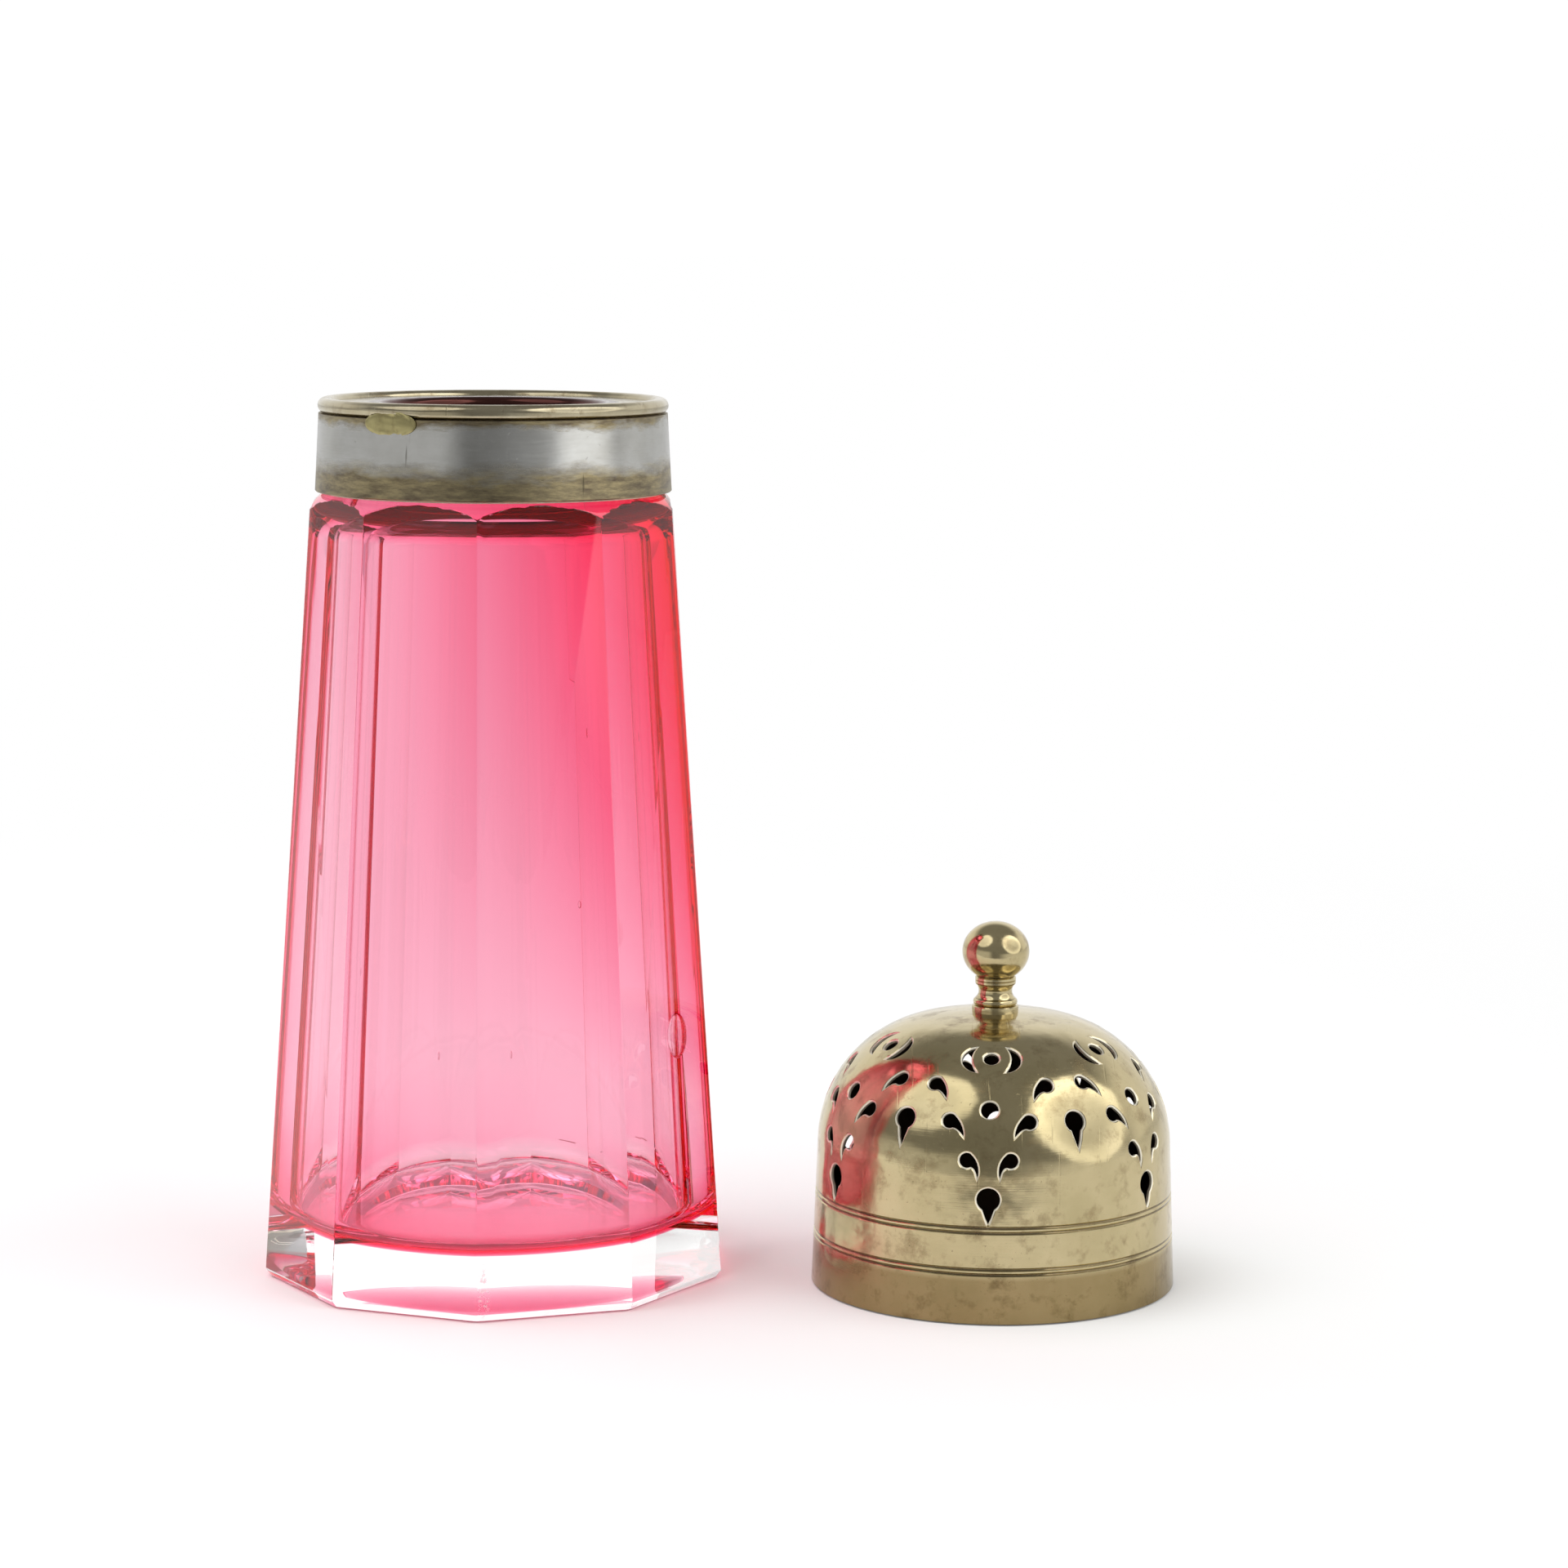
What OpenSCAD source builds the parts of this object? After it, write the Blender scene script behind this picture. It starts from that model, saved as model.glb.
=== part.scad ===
/* [Glass body] */
// Number of flats ground round the glass
flat_count = 10; // [8:1:12]
// Radius over the corners at the foot
foot_corner_r = 32.5; // [29:0.1:36]
// Radius over the corners at the top of the flats
flats_top_corner_r = 25.2; // [23:0.1:28]
// Height of the corners' upper ends
flats_h = 105.9; // [90:0.1:120]
// Turn of one corner from the front, seen from above
flats_turn = -1; // [-20:0.1:20]
// How far the side corners stand back, which makes the front flats wider than the back ones (degrees)
flats_spread = 4.4; // [0:0.1:6]
// How far the corner at the back is off its even place, as half of a turn (degrees)
flats_skew = 1.8; // [0:0.1:3]
// How far the resting face stays inside the corners
foot_bevel_in = 0.9; // [0.4:0.1:1.6]
// Height of the bevel ground on the corners' lower ends
foot_bevel_h = 1.1; // [0.6:0.1:2]
// How far the shoulder draws in from the corners to the neck
shoulder_w = 2.9; // [2.4:0.1:3.4]
// Rise of the shoulder from the corners' upper ends to the neck
shoulder_rise = 2.55; // [2.2:0.05:2.9]
// Radius of the shoulder's rounded section
shoulder_round = 6.2; // [5:0.1:8]
// Bevel on the outer edge of the glass rim
rim_bevel = 0.5; // [0.2:0.1:0.8]

/* [Ruby lining] */
// Thickness of the ruby layer inside the clear glass
lining_t = 1; // [0.6:0.1:1.4]
// Thickness of the whole base under the hollow
base_t = 8.5; // [7:0.1:11]
// Thickness of the whole wall at the flats, at the foot
foot_wall = 2.6; // [2.2:0.05:3.5]
// Thickness of the whole wall at the flats, at their top
top_wall = 1.9; // [1.6:0.05:2.6]
// Thickness of the whole wall of the neck
neck_wall = 5.3; // [4.6:0.1:6]
// How far below the corners' upper ends the hollow starts to draw in
hollow_shoulder_drop = 4.2; // [3:0.1:5.5]
// Radius between the hollow's floor and its wall
floor_round = 2.5; // [1.5:0.5:6]
// Radius where the hollow draws in to the neck
hollow_shoulder_round = 6.5; // [5.5:0.1:7.5]

/* [Collar] */
// Height of the collar band
band_h = 10.6; // [8:0.1:14]
// How far the band's lower edge stands above the corners' upper ends
band_gap = 2.3; // [2:0.05:2.6]
// Thickness of the plaster inside the band's lower edge
plaster_foot_t = 1.4; // [1.2:0.05:1.6]
// Thickness of the plaster inside the band's upper edge
plaster_top_t = 0.85; // [0.7:0.05:1]
// How far the plaster's foot stays inside the band
plaster_setback = 0.5; // [0.3:0.05:0.7]
// Thickness of the plaster between the glass rim and the flange
rim_bed = 0.65; // [0.4:0.05:1]
// How far the plaster on the rim stays back from the ruby lining
rim_bed_setback = 0.25; // [0.1:0.05:1]
// Sheet thickness of the band and the rim
sheet_t = 0.6; // [0.4:0.05:0.8]
// Radius of the rim's bead section
bead_r = 1.05; // [0.9:0.05:1.2]
// How far the bead stands out over the band's upper edge
bead_overhang = 0.1; // [0:0.05:0.2]
// Depth of the flange below the bead's crown
flange_dip = 0.65; // [0.5:0.05:0.8]
// Gap between the throat and the inside of the neck
throat_gap = 1.4; // [1:0.1:2]
// Radius of the bend from the flange into the throat
throat_bend = 1; // [0.9:0.1:1.5]
// Length of the throat below its bend
throat_len = 2.5; // [1.5:0.1:4]

/* [Pierced cap] */
// Gap between the foot of the glass and the cap that stands beside it
cap_gap = 11.5; // [5:0.5:30]
// Distance of the cap's axis in front of the bottle's
cap_front = 7; // [0:0.5:20]
// Clearance between the cap's mouth and the collar when the cap is on
cap_clearance = 0.1; // [0.05:0.01:0.2]
// Wall thickness of the cap
cap_t = 0.6; // [0.5:0.05:0.8]
// Height of the skirt
skirt_h = 19.2; // [17:0.1:22]
// How far the skirt draws in over its height
skirt_draw = 0.75; // [0.5:0.05:0.8]
// Radius of the dome's shoulder section
dome_round = 17.85; // [16:0.05:19]
// Radius of the dome's flattened crown
crown_round = 50; // [45:1:70]
// Height of the lower pair of incised lines above the mouth
low_pair_z = 7.05; // [4:0.05:8]
// Distance of the upper pair of incised lines below the skirt's top
high_pair_drop = 6.55; // [6.2:0.05:7]
// Distance between the two lines of a pair
pair_gap = 0.7; // [0.6:0.05:1]
// Depth of an incised line
line_depth = 0.15; // [0.1:0.01:0.2]
// Radius of the tool that cuts the lines
line_tool_r = 0.22; // [0.2:0.01:0.3]

/* [Piercing] */
// Number of times the pierced pattern repeats
repeat_count = 6; // [5:1:6]
// Turn of the pattern from the front
pattern_turn = -4.4; // [-30:0.1:30]
// Angle of the eye motif up the dome's shoulder
eye_angle = 57.2; // [55:0.2:60]
// Radius of the eye's dot
eye_dot_r = 1.04; // [0.8:0.02:1.2]
// Outer reach of an eye's crescent from the dot's centre
crescent_reach = 3.95; // [3.7:0.05:4.2]
// Greatest width of a crescent
crescent_w = 1.25; // [1:0.05:1.4]
// Half the height of a crescent between its tips
crescent_half_h = 2.3; // [2:0.05:2.5]
// Sideways distance of a crescent's tips from the dot's centre
crescent_tip = 2; // [1.8:0.05:2.2]
// Angle of the round hole up the dome's shoulder
hole_angle = 31; // [28:0.2:34]
// Radius of the round hole
hole_r = 1.18; // [1:0.02:1.3]
// Angle of the low commas up the dome's shoulder
low_comma_angle = 9; // [8:0.2:11]
// Sideways turn of the low commas from their axis
low_comma_turn = 7; // [6.5:0.1:8]
// Slant of the low commas from the upright
low_comma_slant = 30; // [20:1:40]
// Distance of the keyhole's head below the skirt's top
keyhole_drop = 2.4; // [2:0.1:2.6]
// Radius of the keyhole's head
keyhole_r = 1.57; // [1.3:0.05:1.7]
// Distance from the keyhole's head to its tip
keyhole_len = 3.4; // [3:0.1:3.5]
// Angle of the teardrop's head up the dome's shoulder
tear_angle = 24.8; // [23:0.2:27]
// Radius of the teardrop's head
tear_r = 1.42; // [1.2:0.02:1.6]
// Distance from the teardrop's head to its tip
tear_len = 3.8; // [3.4:0.1:4]
// Angle of the upper commas up the dome's shoulder
upper_comma_angle = 42.2; // [40:0.2:44]
// Sideways turn of the upper commas from their axis
upper_comma_turn = 8; // [7:0.1:9]
// Angle of the outer commas up the dome's shoulder
outer_comma_angle = 25.6; // [23:0.2:27]
// Sideways turn of the outer commas from their axis
outer_comma_turn = 16.4; // [15:0.1:17]
// Slant of the upper and outer commas from the upright
high_comma_slant = 46; // [40:1:50]
// Radius of a comma's head
comma_r = 1; // [0.8:0.05:1.1]
// Distance from a comma's head to its tip
comma_len = 2.9; // [2.6:0.05:3.1]

/* [Finial] */
// Radius of the ball, which is a little flattened
ball_r = 4.6; // [4.2:0.05:5]
// Half the height of the ball, before it is cut off at its ring
ball_half_h = 4.1; // [3.8:0.05:4.6]
// Radius of the circle where the ball meets its ring
ball_seat_r = 2.5; // [2.2:0.05:2.6]
// Radius of the ring under the ball
ring_r = 2.8; // [2.6:0.05:3]
// Height of the ring under the ball
ring_h = 1.05; // [0.8:0.05:1.5]
// Radius of the stem before its cove is turned
stem_r = 2.75; // [2.6:0.05:2.9]
// Height of the stem between the base and the ring
stem_h = 2.95; // [2.7:0.05:3.2]
// Radius of the stem at the cove's waist
waist_r = 2.3; // [2.1:0.05:2.4]
// Radius of the cove's section
cove_round = 1.3; // [1.2:0.05:1.5]
// Outer radius over the bead above the base
stem_bead_r = 3.05; // [2.9:0.05:3.2]
// Radius of that bead's section
stem_bead_round = 0.5; // [0.4:0.05:0.55]
// Radius of the base that sits on the dome
base_r = 3.2; // [3.1:0.05:3.6]
// Height of the base above the dome's crown
base_h = 0.8; // [0.6:0.05:1.2]
// Radius of the stud that holds the finial
stud_r = 1.4; // [1.2:0.05:1.6]
// Clearance of the stud in the dome and in the nut
stud_clearance = 0.05; // [0.02:0.01:0.1]
// How far the stud stands out of the nut
stud_end = 1.4; // [0.5:0.1:3]
// Width of the nut across its flats
nut_af = 6; // [5:0.1:7]
// Thickness of the nut
nut_t = 2; // [1.5:0.1:2.5]

/* [Hidden] */
$fn = 96;
arc_steps = 8;
tail_steps = 6;
nut_sides = 6;
// Margin by which a cutting shape passes the surface that it cuts
over = 1;

// Flats: direction of each corner, half a flat's width as an angle, and the widest flat's distance
function corner_turn(i) =
    let (even = 360 * i / flat_count)
        flats_turn - 90 + even + flats_spread * sin(even) + flats_skew * (1 - cos(even));
function half_flat(i) = (corner_turn(i + 1) - corner_turn(i)) / 2;
widest_half = max([for (i = [0 : flat_count - 1]) half_flat(i)]);
foot_apothem = foot_corner_r * cos(widest_half);
flats_top_apothem = flats_top_corner_r * cos(widest_half);
flat_cut_w = 2 * foot_corner_r;
flat_cut_drop = 3;
foot_rest_r = foot_corner_r - foot_bevel_in;
blank_foot_r = foot_corner_r + over;
blank_foot_z = foot_bevel_h * (blank_foot_r - foot_rest_r) / foot_bevel_in;

// Shoulder: its round runs from the corners' upper ends to the neck
neck_r = flats_top_corner_r - shoulder_w;
neck_foot_z = flats_h + shoulder_rise;
shoulder_chord = norm([shoulder_w, shoulder_rise]);
shoulder_sag = sqrt(pow(shoulder_round, 2) - pow(shoulder_chord / 2, 2));
shoulder_centre_r = neck_r + shoulder_w / 2 - shoulder_sag * shoulder_rise / shoulder_chord;
shoulder_centre_z = flats_h + shoulder_rise / 2 - shoulder_sag * shoulder_w / shoulder_chord;

// Collar: the band is bedded on the neck, and the rim stands on the band
band_foot_z = flats_h + band_gap;
band_top_z = band_foot_z + band_h;
band_foot_in_r = neck_r + plaster_foot_t;
band_top_in_r = neck_r + plaster_top_t;
bead_z = band_top_z + bead_r;
bead_centre_r = band_top_in_r + sheet_t + bead_overhang - bead_r;
seat_in_r = neck_r + plaster_top_t / 4;
seat_out_r = band_top_in_r + sheet_t / 2;
flange_z = bead_z + bead_r - flange_dip;
rim_z = flange_z - sheet_t - rim_bed;
neck_hollow_r = neck_r - neck_wall;
throat_r = neck_hollow_r - throat_gap - sheet_t;

// Hollow: lean of its wall, and the centres of its two rounds
hollow_foot_r = foot_apothem - foot_wall;
hollow_top_r = flats_top_apothem - top_wall;
hollow_shoulder_z = flats_h - hollow_shoulder_drop;
hollow_lean = atan((hollow_foot_r - hollow_top_r) / (hollow_shoulder_z - base_t));
floor_round_z = base_t + floor_round;
floor_round_r = hollow_foot_r - floor_round * (tan(hollow_lean) + 1 / cos(hollow_lean));
hollow_round_z = hollow_shoulder_z - hollow_shoulder_round * sin(hollow_lean);
hollow_round_r = hollow_top_r - hollow_shoulder_round * cos(hollow_lean);

// Cap: its mouth fits over the collar, and its crown runs into the dome's shoulder
cap_mouth_r = band_foot_in_r + sheet_t + cap_clearance + cap_t;
skirt_top_r = cap_mouth_r - skirt_draw;
cap_place = [foot_corner_r + cap_gap + cap_mouth_r, -cap_front, 0];
dome_centre_r = skirt_top_r - dome_round;
crown_drop = sqrt(pow(crown_round - dome_round, 2) - pow(dome_centre_r, 2));
crown_centre_z = skirt_h - crown_drop;
crown_z = crown_centre_z + crown_round;
crown_half_angle = atan(dome_centre_r / crown_drop);
line_heights = [for (middle = [low_pair_z, skirt_h - high_pair_drop], side = [-1, 1])
                    middle + side * pair_gap / 2];
pierce_depth = 2.5;
// Tails: how far a drop's tail bites into its head, and the pull points of a comma's two curves
tail_bite = 0.08;
comma_tail_angle = 62;
comma_bulge = [2, -0.4];
comma_hollow = [1.2, -0.9];
repeat_turn = 360 / repeat_count;

// Finial: its turned shapes stand on each other
base_top_z = crown_z + base_h;
ring_z = base_top_z + stem_h;
ball_z = ring_z + ring_h + ball_half_h * sqrt(1 - pow(ball_seat_r / ball_r, 2));
stem_bead_z = base_top_z + stem_bead_round;
cove_z = (stem_bead_z + stem_bead_round + ring_z) / 2;
// Nut: its corners touch the inside of the crown
nut_corner_r = nut_af / 2 / cos(180 / nut_sides);
nut_top_z = crown_centre_z + sqrt(pow(crown_round - cap_t, 2) - pow(nut_corner_r, 2));
stud_len = crown_z - nut_top_z + nut_t + stud_end;

function arc(r, z, radius, from, to) =
    [for (i = [0 : arc_steps])
        let (a = from + (to - from) * i / arc_steps) [r + radius * cos(a), z + radius * sin(a)]];
function round_angle(r, centre_r, radius) = acos((r - centre_r) / radius);
function curve(a, b, c) =
    [for (i = [0 : tail_steps])
        let (t = i / tail_steps) a * pow(1 - t, 2) + b * 2 * t * (1 - t) + c * pow(t, 2)];
function disc_centre(half_h, reach, tip) =
    reach - (pow(half_h, 2) + pow(reach - tip, 2)) / (2 * (reach - tip));
function skirt_r(z) = cap_mouth_r - (cap_mouth_r - skirt_top_r) * z / skirt_h;

// Outline of the blown blank, before its flats are ground
module blank_outline() {
    neck_angle = round_angle(neck_r, shoulder_centre_r, shoulder_round);
    polygon(concat(
        [[0, 0], [foot_rest_r, 0], [blank_foot_r, blank_foot_z]],
        arc(shoulder_centre_r, shoulder_centre_z, shoulder_round, 0, neck_angle),
        [[neck_r, rim_z - rim_bevel], [neck_r - rim_bevel, rim_z], [0, rim_z]]));
}

// Outline of the hollow, grown outwards by a layer's thickness
module hollow_outline(grow, top_z) {
    neck_in = neck_hollow_r + grow;
    neck_angle = round_angle(neck_in, hollow_round_r, hollow_shoulder_round + grow);
    polygon(concat(
        [[0, base_t - grow]],
        arc(floor_round_r, floor_round_z, floor_round + grow, -90, hollow_lean),
        arc(hollow_round_r, hollow_round_z, hollow_shoulder_round + grow, hollow_lean, neck_angle),
        [[neck_in, top_z], [0, top_z]]));
}

// One flat's waste, outside the ground plane
module flat_waste(half_angle) {
    lean = atan((foot_corner_r - flats_top_corner_r) * cos(half_angle) / flats_h);
    translate([foot_corner_r * cos(half_angle), 0, 0])
        rotate([0, -lean, 0])
            translate([0, -flat_cut_w / 2, -flat_cut_drop])
                cube([foot_corner_r, flat_cut_w, neck_foot_z / cos(lean) + flat_cut_drop]);
}

module glass_body() {
    color([0.93, 0.95, 0.94, 0.4])
        difference() {
            rotate_extrude() blank_outline();
            rotate_extrude() hollow_outline(lining_t, rim_z + over);
            for (i = [0 : flat_count - 1])
                rotate([0, 0, corner_turn(i) + half_flat(i)]) flat_waste(half_flat(i));
        }
}

module ruby_lining() {
    color([0.86, 0.12, 0.3, 0.6])
        rotate_extrude()
            difference() {
                hollow_outline(lining_t, rim_z);
                hollow_outline(0, rim_z + over);
            }
}

// Plaster that beds the collar on the neck, the shoulder and the glass rim
module neck_plaster() {
    inner_r = neck_hollow_r + lining_t + rim_bed_setback;
    foot_r = band_foot_in_r - plaster_setback;
    top_z = flange_z - sheet_t;
    color([0.9, 0.86, 0.76])
        rotate_extrude()
            difference() {
                polygon([[inner_r, flats_h], [foot_r, flats_h], [foot_r, band_foot_z],
                         [band_foot_in_r, band_foot_z], [band_top_in_r, band_top_z],
                         [band_top_in_r, top_z], [inner_r, top_z]]);
                blank_outline();
                rim_section();
            }
}

module collar_band() {
    color([0.66, 0.66, 0.62])
        rotate_extrude()
            polygon([[band_foot_in_r, band_foot_z], [band_foot_in_r + sheet_t, band_foot_z],
                     [band_top_in_r + sheet_t, band_top_z], [band_top_in_r, band_top_z]]);
}

// Section of the bend that rolls the flange down into the throat
module throat_bend_section() {
    translate([throat_r + throat_bend, flange_z - throat_bend])
        intersection() {
            difference() {
                circle(r = throat_bend);
                circle(r = throat_bend - sheet_t);
            }
            translate([-throat_bend, 0]) square(throat_bend);
        }
}

// Section of the rim: bead, flat seat on the band, flange, bend and throat
module rim_section() {
    flange_in_r = throat_r + throat_bend;
    throat_top_z = flange_z - throat_bend;
    translate([bead_centre_r, bead_z]) circle(r = bead_r);
    translate([seat_in_r, band_top_z]) square([seat_out_r - seat_in_r, bead_r]);
    translate([flange_in_r, flange_z - sheet_t]) square([bead_centre_r - flange_in_r, sheet_t]);
    throat_bend_section();
    translate([throat_r, throat_top_z - throat_len]) square([sheet_t, throat_len]);
}

module collar_rim() {
    color([0.62, 0.59, 0.5])
        rotate_extrude() rim_section();
}

// Half section of the whole cap, drawn in by the wall's thickness for its inside
module cap_outline(inset) {
    wedge_h = 2 * crown_round;
    polygon([[0, 0], [cap_mouth_r - inset, 0], [skirt_top_r - inset, skirt_h], [0, skirt_h]]);
    intersection() {
        translate([dome_centre_r, skirt_h]) circle(r = dome_round - inset);
        translate([0, skirt_h]) square([2 * skirt_top_r, dome_round]);
    }
    intersection() {
        translate([0, crown_centre_z]) circle(r = crown_round - inset);
        translate([0, crown_centre_z])
            polygon([[0, 0], [wedge_h * tan(crown_half_angle), wedge_h], [0, wedge_h]]);
        translate([0, skirt_h]) square([skirt_top_r, dome_round + over]);
    }
}

// Cuts a flat shape through the wall at a point of the cap, its upward side up the dome
module pierce(turn, r, z, wall_angle) {
    rotate([0, 0, turn - 90])
        translate([r, 0, z])
            rotate([0, 90 - wall_angle, 0])
                rotate([0, 0, 90])
                    translate([0, 0, -pierce_depth])
                        linear_extrude(pierce_depth + over) children();
}

module pierce_dome(turn, angle) {
    pierce(turn, dome_centre_r + dome_round * cos(angle), skirt_h + dome_round * sin(angle), angle)
        children();
}

// A round head with a straight tail that tapers to a tip below it
module drop(head_r, len) {
    tail_half_w = head_r / 2;
    tail_top = -sqrt(pow(head_r, 2) - pow(tail_half_w, 2)) * (1 - tail_bite);
    tail_middle = -(head_r + len) / 2;
    circle(r = head_r);
    polygon([[-tail_half_w, tail_top], [-tail_half_w / 2, tail_middle], [0, -len],
             [tail_half_w / 2, tail_middle], [tail_half_w, tail_top]]);
}

// A round head with a tail that sweeps over to the right and down to a tip
module comma(slant) {
    tip = comma_len * [sin(slant), -cos(slant)];
    tail_root = comma_r * [cos(comma_tail_angle), sin(comma_tail_angle)];
    circle(r = comma_r);
    polygon(concat(
        curve(tail_root, comma_r * comma_bulge, tip),
        curve(tip, comma_r * comma_hollow, [tail_root.x, -tail_root.y])));
}

// One side of the eye: a crescent whose tips lie above and below the dot
module crescent() {
    outer = disc_centre(crescent_half_h, crescent_reach, crescent_tip);
    inner = disc_centre(crescent_half_h, crescent_reach - crescent_w, crescent_tip);
    difference() {
        translate([outer, 0]) circle(r = crescent_reach - outer);
        translate([inner, 0]) circle(r = crescent_reach - crescent_w - inner);
    }
}

// A pair of commas that mirror each other, tails towards their axis or away from it
module comma_pair(turn, angle, side_turn, slant, tails_in) {
    for (side = [-1, 1])
        pierce_dome(turn + side * side_turn, angle)
            mirror([(side > 0) == tails_in ? 1 : 0, 0, 0]) comma(slant);
}

module eye_group(turn) {
    pierce_dome(turn, eye_angle) {
        circle(r = eye_dot_r);
        crescent();
        mirror([1, 0, 0]) crescent();
    }
    pierce_dome(turn, hole_angle) circle(r = hole_r);
    comma_pair(turn, low_comma_angle, low_comma_turn, low_comma_slant, true);
    pierce(turn, skirt_r(skirt_h - keyhole_drop), skirt_h - keyhole_drop, 0) drop(keyhole_r, keyhole_len);
}

module flower_group(turn) {
    pierce_dome(turn, tear_angle) drop(tear_r, tear_len);
    comma_pair(turn, upper_comma_angle, upper_comma_turn, high_comma_slant, false);
    comma_pair(turn, outer_comma_angle, outer_comma_turn, high_comma_slant, false);
}

module pierced_cap() {
    color([0.68, 0.61, 0.44])
        translate(cap_place)
            difference() {
                rotate_extrude()
                    difference() {
                        cap_outline(0);
                        cap_outline(cap_t);
                        translate([0, -over]) square([cap_mouth_r - cap_t, over]);
                        for (z = line_heights)
                            translate([skirt_r(z) + line_tool_r - line_depth, z]) circle(r = line_tool_r);
                    }
                cylinder(h = crown_z + over, r = stud_r + stud_clearance);
                for (i = [0 : repeat_count - 1]) {
                    eye_group(pattern_turn + i * repeat_turn);
                    flower_group(pattern_turn + (i + 0.5) * repeat_turn);
                }
            }
}

// Section of the turned knob above the dome
module knob_section() {
    difference() {
        union() {
            translate([0, crown_z - over]) square([base_r, base_h + over]);
            translate([0, crown_z]) square([stem_r, ring_z - crown_z]);
            translate([0, ring_z]) square([ring_r, ring_h]);
            translate([stem_bead_r - stem_bead_round, stem_bead_z]) circle(r = stem_bead_round);
            intersection() {
                translate([0, ball_z]) scale([1, ball_half_h / ball_r]) circle(r = ball_r);
                translate([0, ball_z - ball_half_h]) square([ball_r, 2 * ball_half_h]);
            }
        }
        translate([waist_r + cove_round, cove_z]) circle(r = cove_round);
        translate([0, crown_centre_z]) circle(r = crown_round);
    }
}

module finial() {
    color([0.72, 0.65, 0.47])
        translate(cap_place)
            union() {
                rotate_extrude() knob_section();
                translate([0, 0, crown_z - stud_len]) cylinder(h = stud_len + over, r = stud_r);
            }
}

module finial_nut() {
    color([0.7, 0.62, 0.42])
        translate(cap_place)
            difference() {
                translate([0, 0, nut_top_z - nut_t])
                    cylinder(h = nut_t, r = nut_corner_r, $fn = nut_sides);
                translate([0, 0, nut_top_z - nut_t - over])
                    cylinder(h = nut_t + 2 * over, r = stud_r + stud_clearance);
            }
}

glass_body();
ruby_lining();
neck_plaster();
collar_band();
collar_rim();
pierced_cap();
finial();
finial_nut();
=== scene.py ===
from math import acos, asin, atan, cos, pi, radians, sin, sqrt, tan

import bpy
import bmesh
from mathutils import Matrix, Vector


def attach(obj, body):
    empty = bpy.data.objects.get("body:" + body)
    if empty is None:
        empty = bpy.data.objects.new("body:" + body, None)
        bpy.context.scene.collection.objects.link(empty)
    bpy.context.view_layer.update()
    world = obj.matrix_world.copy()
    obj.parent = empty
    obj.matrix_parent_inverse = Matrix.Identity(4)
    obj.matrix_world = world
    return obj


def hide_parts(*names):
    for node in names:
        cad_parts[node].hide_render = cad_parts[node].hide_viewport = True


MM = 0.001

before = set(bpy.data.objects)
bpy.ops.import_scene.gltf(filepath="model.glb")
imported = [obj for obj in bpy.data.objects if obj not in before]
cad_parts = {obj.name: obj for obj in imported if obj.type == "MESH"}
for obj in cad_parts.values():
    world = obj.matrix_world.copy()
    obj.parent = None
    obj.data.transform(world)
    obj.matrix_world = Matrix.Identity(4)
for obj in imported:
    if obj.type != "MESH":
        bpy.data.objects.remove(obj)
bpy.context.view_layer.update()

# Sizes in millimetres. Glass: ten flats ground by hand on a blown blank, wider in front than behind
FLATS = 10
FLATS_TURN = -1.0
FLATS_SPREAD = 4.4
FLATS_SKEW = 1.8
FOOT_CORNER = 32.5
TOP_CORNER = 25.2
FLATS_TOP = 105.9
FOOT_REST = 31.6
BLANK_FOOT = (33.5, 2.32)
SHOULDER = (19.85, 102.76, 6.2)
NECK = 22.3
RIM_TOP = 119.0
RIM_BEVEL = 0.5
FOOT_BEVEL = 1.3
BEVEL_SLOPE = 0.6
RECESS = (24.8, 0.5)
RECESS_EDGE = 0.2
EDGE_POLISH = 0.1
SHARP_EDGE = 18

# Hollow inside the glass
FLOOR = 8.5
HOLLOW_FOOT = 28.04
HOLLOW_TOP = 21.86
HOLLOW_SHOULDER = 101.7
FLOOR_ROUND = 2.5
HOLLOW_ROUND = 6.5
NECK_HOLLOW = 17.0
HOLLOW_LEAN = atan((HOLLOW_FOOT - HOLLOW_TOP) / (HOLLOW_SHOULDER - FLOOR))

# Air bubbles in the wall: flat, place along and up it, depth behind it, half sizes outwards, along and up
LARGE_BUBBLE = (1, 3.6, 35.0, 1.0, (0.45, 2.3, 3.1))
SMALL_BUBBLES = ((0, 4.6, 55.0, 0.22), (7, -2.0, 41.0, 0.25), (3, 3.0, 72.0, 0.3), (5, -4.0, 24.0, 0.28))
SMALL_DEPTH = 0.8

# Ruby layer in the wall, blown a little out of centre, so that it leans
LAYER_GAP = 0.03
LAYER_END = 0.3
LAYER_FLOOR = 0.4
FLOOR_LEAN = -0.0138
LAYER_FOOT = 0.42
LAYER_GROWTH = 0.0092
LAYER_SWELL = 0.02
LAYER_LOW = 24.0
LAYER_LEAN = 0.0105
LAYER_NECK = 0.8

# Collar on the neck
BAND_FOOT = (24.3, 108.2)
BAND_TOP = (23.75, 118.8)
SHEET = 0.6
BEAD = (22.8, 119.85, 1.05)
FLANGE_TOP = 120.25
THROAT = 15.0
THROAT_BEND = 1.0
THROAT_END = 116.75
SOLDER_TURN = -31.0
SOLDER_HEIGHT = 118.2
SOLDER_HALVES = (0.3, 4.2, 1.7)
SOLDER_SINK = 0.12
SOLDER_RAGGED = 0.35

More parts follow.
